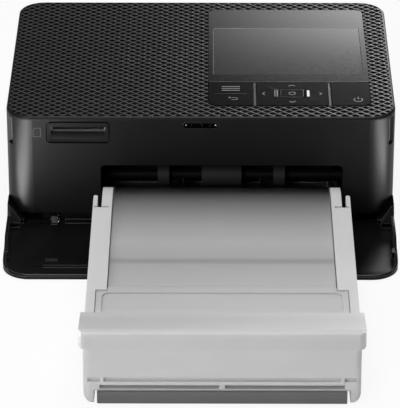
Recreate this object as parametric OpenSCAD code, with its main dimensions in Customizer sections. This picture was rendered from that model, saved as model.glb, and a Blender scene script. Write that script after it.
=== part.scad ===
// Compact photo printer with its paper cassette in place and its front cover open.
// Millimetres. X is the width, Y runs from the front to the back, Z is up from the table.
// The origin is on the table, in the middle of the space that the printer takes up.

/* [Body] */
// Width of the printer body
body_w = 182.2; // [176:0.1:225]
// Depth of the printer body
body_d = 133; // [132.5:0.5:165]
// Height of the body above the table
body_h = 57.6; // [57:0.1:72]
// Radius of the upright corners
corner_r = 12.5; // [10.5:0.5:16]
// Thickness of the moulded walls
wall = 2; // [1.6:0.1:2.4]
// Height of the rubber feet
foot_h = 1.2; // [1:0.1:1.6]
// Radius of the rubber feet
foot_r = 6; // [4:0.5:7]
// Thickness of the base pan
pan_t = 2; // [1.6:0.1:2]
// Thickness of the top cover
top_t = 2; // [1.8:0.1:2.4]
// Radius of the edge of the top cover
top_edge_r = 1.2; // [0.6:0.1:1.6]

/* [Control panel] */
// Width of the control panel
panel_w = 76.7; // [72:0.1:84]
// Depth of the control panel
panel_d = 110.5; // [106:0.5:112]
// Gap from the right side of the body to the panel
panel_side_gap = 11.1; // [8:0.1:14]
// Gap from the front of the body to the panel
panel_front_gap = 12.4; // [11:0.1:16]
// Corner radius of the panel
panel_r = 4; // [2:0.5:5]
// How far the panel stands above the top cover
panel_rise = 0.2; // [0.1:0.1:0.6]
// Depth of the band that holds the keys
key_band_d = 25.9; // [22:0.1:28]
// Width of the display
display_w = 71.5; // [66:0.1:72]
// Depth of the display
display_d = 54.2; // [50:0.1:60]
// Gap from the key band to the display
display_gap = 7.8; // [5:0.1:10]
// Width of the menu and back key
menu_key_w = 21; // [18:0.1:22]
// Width of the power key
power_key_w = 18.2; // [16:0.1:20]
// Width of a bar between two keys
divider_w = 1; // [0.6:0.1:1.4]
// Width of the select key
ok_w = 11.3; // [8:0.1:13]
// Depth of the select key
ok_d = 8.8; // [7:0.1:10]
// Gap round a key
key_gap = 0.3; // [0.25:0.05:0.5]

/* [Front] */
// Width of the paper mouth
mouth_w = 113.6; // [112.4:0.1:120]
// How far the mouth's middle is right of the body's middle
mouth_x = 9.8; // [6:0.1:12]
// Height of the top of the mouth
mouth_top = 32.6; // [31:0.1:36]
// Height of the lower edge of the front wall
front_edge_z = 7.4; // [7:0.1:8]
// Width of the memory card bezel
card_bezel_w = 29.8; // [28:0.1:34]
// Height of the memory card bezel
card_bezel_h = 11.3; // [9:0.1:11.4]
// Gap from the left side of the body to the card bezel
card_side_gap = 19; // [16:0.5:24]
// Width of the pocket for the cover's catch
catch_w = 17.4; // [12:0.1:22]
// Height of the pocket for the cover's catch
catch_h = 4.3; // [3.6:0.1:5]

/* [Front cover] */
// How far the open cover reaches in front of the body
cover_reach = 52.9; // [46:0.1:53]
// Thickness of the cover's floor
cover_t = 2.2; // [1.8:0.1:2.6]
// Height of the cover above the table
cover_lift = 0.6; // [0.4:0.1:0.8]
// Height of the rim along the cover's free edge
cover_rim_h = 2.3; // [1.5:0.1:2.4]
// Thickness of the rim
cover_rim_t = 1.4; // [1:0.1:2]
// Height of the cover's side cheeks above the table
cheek_top = 8; // [7:0.1:9]
// Radius of the cover's hinge pins
hinge_pin_r = 1.5; // [1:0.1:1.6]
// Running clearance round a pin or shaft
run_gap = 0.05; // [0.03:0.01:0.08]

/* [Paper cassette] */
// Width of the cassette over its side walls
cassette_w = 118.6; // [116:0.1:122]
// Width of the part that enters the mouth
tail_w = 110.6; // [109:0.1:111]
// How far the cassette's front stands before the body
cassette_reach = 161.4; // [158:0.1:190]
// How far the cassette goes into the body
tail_depth = 24; // [20:0.5:25]
// Height of the cassette's underside in the mouth
tray_z = 8.4; // [8.3:0.1:8.6]
// Height of the top of the cassette's rails
rail_top = 28; // [27:0.1:29]
// Thickness of the cassette's walls
tray_t = 1.6; // [1.2:0.1:2]
// Width of the inner lid
lid_w = 100.4; // [98:0.1:100.4]
// Height of the inner lid
lid_top = 25; // [24:0.1:26]
// Width of the bar across the outer lid
bar_w = 122; // [121:0.1:126]
// Height of the bar across the outer lid
bar_top = 34.8; // [33:0.1:37]
// Width of the dark foot under the cassette's front
foot_bar_w = 106.8; // [100:0.1:107]
// Height of the dark foot
foot_bar_h = 5.8; // [4.5:0.1:5.8]

/* [Ink side] */
// Length of the ink door
door_len = 69.4; // [64:0.1:72]
// Height of the ink door
door_h = 37.4; // [34:0.1:38]
// Height of the lower edge of the ink door
door_z = 12.3; // [11:0.1:13]
// Radius of the ink tubes
ink_tube_r = 9.2; // [8.6:0.1:9.4]

/* [Paper drive] */
// Radius of the pickup rollers
pickup_r = 5.5; // [4.5:0.1:6]
// Radius of the capstan
capstan_r = 5; // [4:0.1:5.2]
// Radius of the pinch roller
pinch_r = 4; // [3:0.1:4.2]
// Radius of the platen roller
platen_r = 6; // [5:0.1:6]
// Radius of the steel shafts
shaft_r = 2; // [1.5:0.1:2.2]
// Gap between rollers that hold one sheet of paper
paper_gap = 0.3; // [0.25:0.05:0.4]
// Size of the gear teeth
gear_module = 0.6; // [0.55:0.01:0.6]
// Thickness of the gears
gear_t = 4; // [3:0.5:4]
// Teeth of the capstan gear and the platen gear
main_teeth = 30; // [28:1:30]
// Teeth of the pickup gear
pickup_teeth = 24; // [22:1:26]
// Teeth of the ribbon gear
ribbon_teeth = 24; // [22:1:26]
// Teeth of the motor pinion
pinion_teeth = 16; // [16:1:18]

/* [Hidden] */
$fn = 48;

// Heights in the body
pan_top = foot_h + pan_t;
shell_top = body_h - top_t;
panel_top = body_h + panel_rise;
half_w = body_w / 2;
in_w = half_w - wall;
foot_x = half_w - 9.5;
foot_ys = [18, body_d - 15.5];
// The origin is in the middle of the whole footprint, so the body's front face is moved by this much
front_y = (cassette_reach - body_d) / 2;

// Control panel, in plan
panel_x1 = half_w - panel_side_gap;
panel_x0 = panel_x1 - panel_w;
panel_y0 = panel_front_gap;
panel_y1 = panel_y0 + panel_d;
glass_y0 = panel_y0 + key_band_d;
display_x0 = (panel_x0 + panel_x1 - display_w) / 2;
display_y0 = glass_y0 + display_gap;
key_y0 = panel_y0 + key_gap;
key_y1 = glass_y0 - key_gap;
key_mid_y = (key_y0 + key_y1) / 2;
menu_x0 = panel_x0 + key_gap;
menu_x1 = menu_x0 + menu_key_w;
power_x1 = panel_x1 - key_gap;
power_x0 = power_x1 - power_key_w;
nav_x0 = menu_x1 + divider_w + 2 * key_gap;
nav_x1 = power_x0 - divider_w - 2 * key_gap;
nav_x = (nav_x0 + nav_x1) / 2;
key_t = 1.9;
key_under = panel_top - key_t;
pivot_z = key_under - 1.3;
pivot_r = 0.6;
frame_z = key_under - 2.7;
stem_end = key_under - 2.3;
membrane_z = key_under - 4.1;

// Front openings
card_x0 = -half_w + card_side_gap;
card_x1 = card_x0 + card_bezel_w;
card_z1 = shell_top - 0.3;
card_z0 = card_z1 - card_bezel_h;
card_slot_z = card_z0 + 4.9;
card_slot_h = 3.7;
card_r = 2.1;
catch_z1 = shell_top - 0.3;
catch_z0 = catch_z1 - catch_h;
mouth_x0 = mouth_x - mouth_w / 2;
mouth_x1 = mouth_x + mouth_w / 2;
mouth_r = 2.2;

// Front cover
cover_gap = 0.6;
cover_floor = cover_lift + cover_t;
hinge_y = 6;
hinge_z = 5.6;
hinge_x = 69;
arm_w = 3;
arm_side_gap = 0.3;
ear_w = 6;
ear_back = 9;
ear_top = 12.6;
cover_edge = 0.8;

// Cassette
cass_half = cassette_w / 2;
tail_half = tail_w / 2;
rail_in = lid_w / 2 + 0.3;
tail_step = 33.6;
arm_end = 24;
arm_back = 21.6;
cass_wall = 2;
tray_floor = tray_z + tray_t;
tray_front = cassette_reach - 1.4;
cap_hinge_y = -109;
cap_hinge_z = 26;
cap_half = tail_half - 0.3;
cap_wide_y = cap_hinge_y - 2.2;
wing_back = 135;
tray_r = 3.2;
bar_r = 3.6;
cap_t = 1.6;
lid_t = 1.5;

// Paper drive, as places seen from the right side
chassis_t = 1.2;
left_x = -60;
right_x = 76;
pickup_at = [14, 21];
capstan_at = [40, 17];
pinch_at = capstan_at + [0, capstan_r + paper_gap + pinch_r];
platen_at = [76, 17];
supply_at = [58, 35];
takeup_at = [95, 35];
head_rod_at = [112, 47.5];
roll_x0 = -44;
roll_x1 = 63.6;
gear_x0 = left_x - 2 - gear_t;
gear_x1 = left_x - 2;
bush_r = 3.5;
slip = 0.02;

// Gear train
idler1_teeth = 20;
idler2_teeth = 34;
idler3_teeth = 18;
function pitch_r(z) = gear_module * z / 2;
mesh_gap = 0.06;
function reach(a, b) = pitch_r(a) + pitch_r(b) + mesh_gap;
// Where two circles about p and q, of radius a and b, cross; side is 1 or -1
function cross_at(p, q, a, b, side) =
  let (d = norm(q - p), u = (q - p) / d, s = (a * a - b * b + d * d) / (2 * d),
       h = sqrt(a * a - s * s))
  p + u * s + [-u[1], u[0]] * h * side;
idler1_at = cross_at(capstan_at, pickup_at, reach(main_teeth, idler1_teeth),
                     reach(idler1_teeth, pickup_teeth), 1);
idler2_at = cross_at(capstan_at, platen_at, reach(main_teeth, idler2_teeth),
                     reach(idler2_teeth, main_teeth), 1);
idler3_at = cross_at(platen_at, takeup_at, reach(main_teeth, idler3_teeth),
                     reach(idler3_teeth, ribbon_teeth), 1);
pinion_dir = 100;
pinion_at = capstan_at + reach(main_teeth, pinion_teeth) * [cos(pinion_dir), sin(pinion_dir)];
function angle_to(p, q) = atan2(q[1] - p[1], q[0] - p[0]);
// Turn of the second gear that puts its gap on the first gear's tooth
function mesh_turn(turn_a, za, zb, dir) = dir + 180 - 360 / zb * (0.5 - (dir - turn_a) * za / 360);
turn_capstan = 0;
turn_idler1 = mesh_turn(turn_capstan, main_teeth, idler1_teeth, angle_to(capstan_at, idler1_at));
turn_pickup = mesh_turn(turn_idler1, idler1_teeth, pickup_teeth, angle_to(idler1_at, pickup_at));
turn_idler2 = mesh_turn(turn_capstan, main_teeth, idler2_teeth, angle_to(capstan_at, idler2_at));
turn_platen = mesh_turn(turn_idler2, idler2_teeth, main_teeth, angle_to(idler2_at, platen_at));
turn_idler3 = mesh_turn(turn_platen, main_teeth, idler3_teeth, angle_to(platen_at, idler3_at));
turn_ribbon = mesh_turn(turn_idler3, idler3_teeth, ribbon_teeth, angle_to(idler3_at, takeup_at));
turn_pinion = mesh_turn(turn_capstan, main_teeth, pinion_teeth, pinion_dir);

// Ink side
door_hinge_r = 1.5;
door_hinge_x = half_w - door_hinge_r;
door_y0 = 42.3;
door_hinge_y = door_y0 + door_len - door_hinge_r;
door_pin_r = 0.8;
door_open_gap = 0.3;

// Rear sockets
jack_at = [-59, 14];
usb_at = [-74, 11.6];
board_y = body_d - 11;

// Moves a piece from the body's front face to the origin
module placed() translate([0, front_y, 0]) children();

// Flat outlines swept along one axis; the outline's first axis is Y for along_x, and X otherwise
module along_x(x0, x1) translate([x0, 0, 0]) rotate([90, 0, 90]) linear_extrude(x1 - x0) children();
module along_y(y0, y1) translate([0, y1, 0]) rotate([90, 0, 0]) linear_extrude(y1 - y0) children();
module along_z(z0, z1) translate([0, 0, z0]) linear_extrude(z1 - z0) children();
module box(x0, x1, y0, y1, z0, z1) translate([x0, y0, z0]) cube([x1 - x0, y1 - y0, z1 - z0]);
module rod(x0, x1, at, r) along_x(x0, x1) translate(at) circle(r);

// Rounded rectangle from two corners
module rr(x0, y0, x1, y1, r) {
  translate([x0 + r, y0]) square([x1 - x0 - 2 * r, y1 - y0]);
  translate([x0, y0 + r]) square([x1 - x0, y1 - y0 - 2 * r]);
  for (x = [x0 + r, x1 - r], y = [y0 + r, y1 - r]) translate([x, y]) circle(r);
}

// Slab with round upright corners; prof lists how far its edge is set in at each height
module slab(w, d, r, prof) {
  n = len(prof) - 1;
  up = [for (p = prof) [p[0], p[1]]];
  for (x = [r - w / 2, w / 2 - r], y = [r, d - r])
    translate([x, y, 0])
      rotate_extrude()
        polygon(concat([[0, prof[0][1]]], [for (p = prof) [r - p[0], p[1]]], [[0, prof[n][1]]]));
  along_x(r - w / 2, w / 2 - r)
    polygon(concat(up, [for (i = [n:-1:0]) [d - prof[i][0], prof[i][1]]]));
  along_y(r, d - r)
    polygon(concat([for (p = prof) [p[0] - w / 2, p[1]]],
                   [for (i = [n:-1:0]) [w / 2 - prof[i][0], prof[i][1]]]));
}

// Plain block of the body's outline, set in by a margin
module body_block(inset, z0, z1)
  translate([0, inset, 0])
    slab(body_w - 2 * inset, body_d - 2 * inset, corner_r - inset, [[0, z0], [0, z1]]);

// Involute spur gear in the flat
function inv(r, rb) = r <= rb ? 0 : sqrt(pow(r / rb, 2) - 1) * 180 / PI - acos(rb / r);
module gear_outline(z, turn) {
  rp = pitch_r(z);
  rb = rp * cos(20);
  ra = rp + 0.85 * gear_module;
  rf = rp - 1.15 * gear_module;
  half = 90 / z - 2.2 / rp;
  steps = 4;
  rs = [for (i = [0:steps]) max(rf, rb) + (ra - max(rf, rb)) * i / steps];
  flank = concat([[rf, half + inv(rp, rb)]], [for (r = rs) [r, half + inv(rp, rb) - inv(r, rb)]]);
  rotate(turn)
    polygon([for (k = [0:z - 1]) each concat(
      [for (p = flank) p[0] * [cos(k * 360 / z - p[1]), sin(k * 360 / z - p[1])]],
      [for (i = [steps + 1:-1:0])
        flank[i][0] * [cos(k * 360 / z + flank[i][1]), sin(k * 360 / z + flank[i][1])]])]);
}
// Gear with a hub on the side of the chassis and round lightening holes
module gear(z, turn, at, bore, holes = 0) {
  rp = pitch_r(z);
  along_x(gear_x0, gear_x1) translate(at) difference() {
    gear_outline(z, turn);
    circle(bore);
    if (holes > 0)
      for (k = [1:holes]) rotate(turn + k * 360 / holes) translate([rp * 0.56, 0]) circle(rp * 0.17);
  }
}

// Casing

module base_pan() color([0.07, 0.07, 0.075]) placed() {
  lip = wall + 0.2;
  difference() {
    union() {
      body_block(0, foot_h, pan_top);
      difference() {
        body_block(lip, pan_top, pan_top + 3.3);
        body_block(lip + 1.5, pan_top - 1, pan_top + 5);
        box(-half_w, half_w, -1, ear_back + 6, pan_top - 1, pan_top + 5);
      }
      box(-hinge_x + 5, hinge_x - 5, wall + 0.2, wall + 2, pan_top, front_edge_z + 0.2);
      for (s = [-1, 1], x = [hinge_x - 5.4, hinge_x + 2.4])
        translate([s > 0 ? x : -x - 3, 0, 0]) box(0, 3, wall + 1, ear_back, pan_top, hinge_z + 2.8);
      for (x = [left_x + 4, right_x - 3], y = [16, 108])
        translate([x, y, pan_top]) cylinder(h = 6.5 - pan_top, r = 3);
    }
    for (s = [-1, 1]) {
      translate([s > 0 ? half_w - ear_w - 0.8 : -half_w - 1, -1, 0])
        cube([ear_w + 1.8, ear_back + 2, pan_top + 8]);
      translate([s * hinge_x - arm_w / 2 - arm_side_gap, -1, 0])
        cube([arm_w + 2 * arm_side_gap, ear_back + 1.2, pan_top + 8]);
      rod(s * hinge_x - 6, s * hinge_x + 6, [hinge_y, hinge_z], hinge_pin_r + slip);
    }
    for (s = [-1, 1], y = foot_ys) translate([s * foot_x, y, 0]) {
      cylinder(h = foot_h + 0.6, r = foot_r + 0.1);
      cylinder(h = 20, r = 1.6);
    }
  }
}

module vent_slots(x0, count, pitch, z0, z1)
  for (k = [0:count - 1]) rr(x0 + k * pitch, z0, x0 + k * pitch + 1.5, z1, 0.7);

module case_shell() color([0.045, 0.045, 0.05]) placed() {
  lug_y0 = door_hinge_y - 2.6;
  lug_y1 = door_hinge_y + 3;
  rib_half = (in_w - foot_x) / 2 + 0.5;
  difference() {
    union() {
      difference() {
        body_block(0, pan_top, shell_top);
        body_block(wall, pan_top - 1, shell_top + 1);
      }
      // Corner blocks behind the recesses for the cover's snaps
      intersection() {
        body_block(0, 38, shell_top);
        union() for (s = [-1, 1]) box(s * (half_w - 4) - 4, s * (half_w - 4) + 4, 0.5, 10, 38, shell_top);
      }
      // Bosses that the case screws go into
      for (s = [-1, 1], y = foot_ys) {
        translate([s * foot_x, y, pan_top]) cylinder(h = 11, r = 3.2);
        translate([s * (foot_x + in_w) / 2 - rib_half, y - 0.8, pan_top + 4]) cube([2 * rib_half, 1.6, 7]);
      }
      // Lugs for the ink door's pin
      box(half_w - 4.4, half_w - 0.5, lug_y0, lug_y1, door_z - 5, door_z - 0.3);
      box(half_w - 4.4, half_w - 0.5, lug_y0, lug_y1, door_z + door_h + 0.3, door_z + door_h + 4.6);
    }
    for (s = [-1, 1], y = foot_ys)
      translate([s * foot_x, y, pan_top - 1]) cylinder(h = 9.5, r = 1.5 + slip);
    // Free lower edge over the cover's hinge, cut on the slant at the corners
    box(-half_w - 1, half_w + 1, -1, ear_back + 1, pan_top - 1, front_edge_z);
    for (s = [-1, 1]) along_y(-1, ear_back + 1)
      polygon([[s * (half_w - 6.2), front_edge_z - 1], [s * (half_w + 1), front_edge_z - 1],
               [s * (half_w + 1), front_edge_z + 7.2], [s * (half_w - 6.2), front_edge_z]]);
    along_y(-1, wall + 0.5) rr(mouth_x0, 0, mouth_x1, mouth_top, mouth_r);
    along_y(-1, wall + 0.5) rr(card_x0, card_z0, card_x1, card_z1, card_r);
    along_y(-1, wall + 0.5) rr(-catch_w / 2, catch_z0, catch_w / 2, catch_z1, catch_h / 2 - 0.01);
    // Recesses for the cover's snaps
    for (s = [-1, 1]) along_z(shell_top - 14.4, shell_top - 0.6)
      translate([s * (half_w - 1.2), 6]) rr(-2, -2, 2, 2, 0.8);
    // Ink door opening
    along_x(half_w - wall - 3, half_w + 1)
      rr(door_y0 - door_open_gap, door_z - door_open_gap,
         door_hinge_y + door_hinge_r + door_open_gap, door_z + door_h + door_open_gap, 0.8);
    translate([door_hinge_x, door_hinge_y, door_z - 4]) cylinder(h = door_h + 8, r = door_pin_r + slip);
    // Rear paper slot, sockets and vents
    along_y(body_d - wall - 1, body_d + 1) {
      rr(mouth_x - 52, 19.8, mouth_x + 52, 26.8, 1.5);
      translate(jack_at) circle(4.4);
      rr(usb_at[0] - 4.9, usb_at[1] - 2, usb_at[0] + 4.9, usb_at[1] + 2, 1.8);
      vent_slots(-30, 22, 3.2, 38, 50);
    }
    // Vents low on the left side
    along_x(-half_w - 1, -half_w + wall + 0.5) vent_slots(60, 14, 3.2, 14, 26);
  }
}

module top_cover() color([0.12, 0.12, 0.125]) placed() {
  steps = 3;
  edge = [for (i = [0:steps])
    [top_edge_r * (1 - cos(90 * i / steps)), body_h - top_edge_r * (1 - sin(90 * i / steps))]];
  difference() {
    union() {
      slab(body_w, body_d, corner_r, concat([[0, shell_top]], edge));
      // Ledge that carries the display's bezel
      along_z(shell_top - 1.2, shell_top)
        rr(panel_x0 - 2, glass_y0 - 0.4, panel_x1 + 2, panel_y1 + 2, panel_r);
      // Locating ribs inside the case
      for (s = [-1, 1])
        box(s * (in_w - 1.2) - 0.8, s * (in_w - 1.2) + 0.8, 16, 36, shell_top - 3, shell_top);
      for (x = [-60, 60])
        box(x - 12, x + 12, body_d - wall - 2, body_d - wall - 0.4, shell_top - 3, shell_top);
    }
    along_z(shell_top, body_h + 1) rr(panel_x0, panel_y0, panel_x1, panel_y1, panel_r);
    along_z(shell_top - 3, shell_top + 0.01)
      rr(panel_x0 + 1.2, panel_y0, panel_x1 - 1.2, glass_y0 + 3, 0.5);
    along_z(shell_top - 3, shell_top + 0.01)
      rr(panel_x0, panel_y0, panel_x1, glass_y0 - 0.4, panel_r);
    along_z(shell_top - 3, shell_top + 0.01)
      rr(panel_x0 + 2, glass_y0 + 1.2, panel_x1 - 2, panel_y1 - 2, 2);
  }
}

module rubber_feet() color([0.05, 0.05, 0.05]) placed()
  for (s = [-1, 1], y = foot_ys)
    translate([s * foot_x, y, 0]) difference() {
      cylinder(h = foot_h + 0.6, r = foot_r);
      translate([0, 0, -1]) cylinder(h = 3, r = 2.6);
    }

module case_screws() color([0.6, 0.6, 0.62]) placed()
  for (s = [-1, 1], y = foot_ys)
    translate([s * foot_x, y, foot_h + 0.6]) {
      difference() {
        translate([0, 0, -1.2]) cylinder(h = 1.2, r = 2.4);
        translate([0, 0, -1.3]) box(-2, 2, -0.25, 0.25, 0, 0.6);
      }
      cylinder(h = 8, r = 1.5);
    }

// Control panel

module panel_bezel() color([0.03, 0.03, 0.035]) placed() difference() {
  along_z(shell_top, panel_top) difference() {
    rr(panel_x0 + 0.1, panel_y0 + 0.1, panel_x1 - 0.1, panel_y1 - 0.1, panel_r - 0.1);
    translate([panel_x0 - 1, panel_y0 - 1]) square([panel_w + 2, key_band_d + 1]);
  }
  along_z(shell_top + 0.6, panel_top + 1)
    rr(display_x0, display_y0, display_x0 + display_w, display_y0 + display_d, 1);
  along_z(shell_top - 1, shell_top + 1)
    rr(display_x0 + 1, display_y0 + 1, display_x0 + display_w - 1, display_y0 + display_d - 1, 1);
}

module display_lens() color([0.16, 0.17, 0.18, 0.9]) placed()
  along_z(shell_top + 0.6, panel_top)
    rr(display_x0 + 0.1, display_y0 + 0.1, display_x0 + display_w - 0.1, display_y0 + display_d - 0.1, 0.9);

module lcd_module() color([0.35, 0.36, 0.38]) placed() {
  box(display_x0 + 1.5, display_x0 + display_w - 1.5, display_y0 + 1.5, display_y0 + display_d - 1.5,
      shell_top - 3.2, shell_top + 0.5);
}

module key_dividers() color([0.5, 0.5, 0.52]) placed()
  for (x = [menu_x1 + key_gap, power_x0 - key_gap - divider_w])
    box(x, x + divider_w, key_y0, key_y1, frame_z + 1, panel_top - 0.2);

// Plain frame under the keys, with the lugs that their pins turn in
module key_frame() color([0.09, 0.09, 0.095]) placed() difference() {
  union() {
    box(panel_x0 - 2, panel_x1 + 2, panel_y0 - 2, glass_y0 - 0.6, frame_z - 0.4, frame_z + 1);
    for (x = [menu_x0 + 0.4, menu_x1 - 2.4])
      box(x, x + 2, key_mid_y - 1.6, key_mid_y + 1.6, frame_z, pivot_z + 0.7);
    for (x = [nav_x0 + 0.6, nav_x1 - 2.6])
      box(x, x + 2, key_mid_y - 1.6, key_mid_y + 1.6, frame_z, pivot_z + 0.7);
    for (x = [panel_x0 + 4, panel_x1 - 6])
      box(x, x + 3, panel_y0 - 1.9, panel_y0 - 0.1, frame_z, shell_top);
  }
  box(menu_x0 + 2.8, menu_x1 - 2.8, key_y0 + 2, key_y1 - 2, frame_z - 2, frame_z + 3);
  box(nav_x0 + 3, nav_x1 - 3, key_y0 + 2, key_y1 - 2, frame_z - 2, frame_z + 3);
  box(power_x0 + 2, power_x1 - 2, key_y0 + 2, key_y1 - 2, frame_z - 2, frame_z + 3);
  rod(menu_x0, menu_x1, [key_mid_y, pivot_z], pivot_r + slip);
  rod(nav_x0, nav_x0 + 4, [key_mid_y, pivot_z], pivot_r + run_gap);
  rod(nav_x1 - 4, nav_x1, [key_mid_y, pivot_z], pivot_r + run_gap);
}

module menu_pin() color([0.7, 0.7, 0.72]) placed()
  rod(menu_x0 + 0.5, menu_x1 - 0.5, [key_mid_y, pivot_z], pivot_r);

module menu_key() color([0.04, 0.04, 0.045]) placed() difference() {
  union() {
    along_z(key_under, panel_top) difference() {
      rr(menu_x0, key_y0, menu_x1 + panel_r, key_y1 + panel_r, panel_r);
      translate([menu_x1, key_y0 - 1]) square([panel_r + 1, key_band_d + 9]);
      translate([menu_x0 - 1, key_y1]) square([menu_key_w + 9, panel_r + 1]);
    }
    for (x = [menu_x0 + 3.2, menu_x1 - 5.2])
      box(x, x + 2, key_mid_y - 1.3, key_mid_y + 1.3, pivot_z - 1.2, key_under);
    for (y = [-8, 8]) translate([menu_x0 + menu_key_w / 2, key_mid_y + y, stem_end])
      cylinder(h = key_under - stem_end, r = 1.2);
  }
  rod(menu_x0 + 2, menu_x1 - 2, [key_mid_y, pivot_z], pivot_r + run_gap);
}

// Small gimbal that lets the four-way key tip both ways
module nav_pivot() color([0.3, 0.3, 0.32]) placed() {
  difference() {
    box(nav_x - 11, nav_x + 11, key_mid_y - 7.6, key_mid_y + 7.6, pivot_z - 0.7, pivot_z + 0.6);
    box(nav_x - 8, nav_x + 8, key_mid_y - 5.2, key_mid_y + 5.2, pivot_z - 2, pivot_z + 2);
  }
  rod(nav_x0 + 0.8, nav_x - 10, [key_mid_y, pivot_z], pivot_r);
  rod(nav_x + 10, nav_x1 - 0.8, [key_mid_y, pivot_z], pivot_r);
  for (y0 = [key_mid_y - 10, key_mid_y + 7])
    along_y(y0, y0 + 3) translate([nav_x, pivot_z]) circle(pivot_r);
}

module nav_key() color([0.04, 0.04, 0.045]) placed() difference() {
  union() {
    box(nav_x0, nav_x1, key_y0, key_y1, key_under, panel_top);
    for (y = [key_mid_y - 10.1, key_mid_y + 8.1])
      box(nav_x - 1.4, nav_x + 1.4, y, y + 2, pivot_z - 1.2, key_under);
    for (x = [-12.6, 12.6]) translate([nav_x + x, key_mid_y, 0])
      translate([0, 5, stem_end]) cylinder(h = key_under - stem_end, r = 1);
    for (y = [-9.4, 9.4]) translate([nav_x + 3.4, key_mid_y + y, stem_end])
      cylinder(h = key_under - stem_end, r = 0.9);
    // Bright bars at both ends of the select key
    for (x = [-1, 1])
      box(nav_x + x * (ok_w / 2 + 1.9) - 0.7, nav_x + x * (ok_w / 2 + 1.9) + 0.7,
          key_mid_y - ok_d / 2, key_mid_y + ok_d / 2, panel_top, panel_top + 0.15);
  }
  along_z(key_under - 1, panel_top + 1)
    rr(nav_x - ok_w / 2 - key_gap, key_mid_y - ok_d / 2 - key_gap,
       nav_x + ok_w / 2 + key_gap, key_mid_y + ok_d / 2 + key_gap, 1.2);
  along_y(key_mid_y - 11, key_mid_y + 11) translate([nav_x, pivot_z]) circle(pivot_r + run_gap);
}

module ok_key() color([0.05, 0.05, 0.055]) placed() {
  along_z(key_under, panel_top + 0.15)
    rr(nav_x - ok_w / 2, key_mid_y - ok_d / 2, nav_x + ok_w / 2, key_mid_y + ok_d / 2, 1);
  translate([nav_x, key_mid_y, stem_end]) cylinder(h = key_under - stem_end, r = 1.5);
}

module power_key() color([0.04, 0.04, 0.045]) placed() {
  along_z(key_under, panel_top) difference() {
    rr(power_x0 - panel_r, key_y0, power_x1, key_y1 + panel_r, panel_r);
    translate([power_x0 - panel_r - 1, key_y0 - 1]) square([panel_r + 1, key_band_d + 9]);
    translate([power_x0 - 1, key_y1]) square([power_key_w + 9, panel_r + 1]);
  }
  translate([(power_x0 + power_x1) / 2, key_mid_y, stem_end])
    cylinder(h = key_under - stem_end, r = 1.5);
}

// Rubber sheet with a dome under each key, on its circuit board
module key_membrane() color([0.45, 0.46, 0.44]) placed() {
  box(panel_x0 + 1, panel_x1 - 1, panel_y0 + 0.5, glass_y0 - 1, membrane_z - 1, membrane_z + 0.6);
  menu_x = menu_x0 + menu_key_w / 2;
  power_x = (power_x0 + power_x1) / 2;
  for (p = [[menu_x, -8], [menu_x, 8], [nav_x, 0], [power_x, 0]])
    translate([p[0], key_mid_y + p[1], membrane_z]) cylinder(h = 1.1, r1 = 2.6, r2 = 1.6);
}

// Front fittings

module card_slot_bezel() color([0.05, 0.05, 0.055]) placed() difference() {
  union() {
    along_y(0.9, wall + 1)
      rr(card_x0 + 0.05, card_z0 + 0.05, card_x1 - 0.05, card_z1 - 0.05, card_r - 0.05);
    // Face, standing free of the case all round
    along_y(-0.2, 1) rr(card_x0 + 0.7, card_z0 + 0.7, card_x1 - 0.7, card_z1 - 0.7, card_r - 0.7);
  }
  along_y(-1, wall + 2)
    rr(card_x0 + 2.1, card_slot_z, card_x1 - 2.2, card_slot_z + card_slot_h, 0.5);
  along_x(card_x0 + 2.1, card_x1 - 2.2)
    polygon([[-1, card_slot_z + 0.5], [-1, card_z0 + 2.6], [1.6, card_slot_z + 0.5]]);
}

module card_reader() color([0.55, 0.56, 0.58]) placed() difference() {
  box(card_x0 + 0.6, card_x1 - 0.6, wall + 1.1, 32, card_slot_z - 2, card_slot_z + card_slot_h + 1.2);
  box(card_x0 + 2.6, card_x1 - 2.7, wall, 28, card_slot_z + 0.7, card_slot_z + card_slot_h - 0.5);
}

module catch_pocket() color([0.05, 0.05, 0.055]) placed() {
  r = catch_h / 2 - 0.05;
  difference() {
    along_y(-0.1, 6)
      rr(-catch_w / 2 + 0.05, catch_z0 + 0.05, catch_w / 2 - 0.05, catch_z1 - 0.05, r - 0.01);
    along_y(-1, 5) rr(-catch_w / 2 + 0.8, catch_z0 + 0.8, catch_w / 2 - 0.8, catch_z1 - 0.8, r - 0.8);
  }
  for (x = [-4.8, 0.2, 4]) box(x, x + 0.8, 1.6, 5.2, catch_z0 + 0.9, catch_z0 + 2.1);
}

// Front cover, open: a thin tray with a rim, side cheeks and two hinge arms

module cover_plan(inset) {
  r = corner_r - inset;
  difference() {
    translate([0, -cover_reach + inset])
      rr(-half_w + inset, 0, half_w - inset, cover_reach + corner_r + 4, r);
    translate([-half_w - 1, -cover_gap]) square([body_w + 2, 40]);
  }
}

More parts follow.
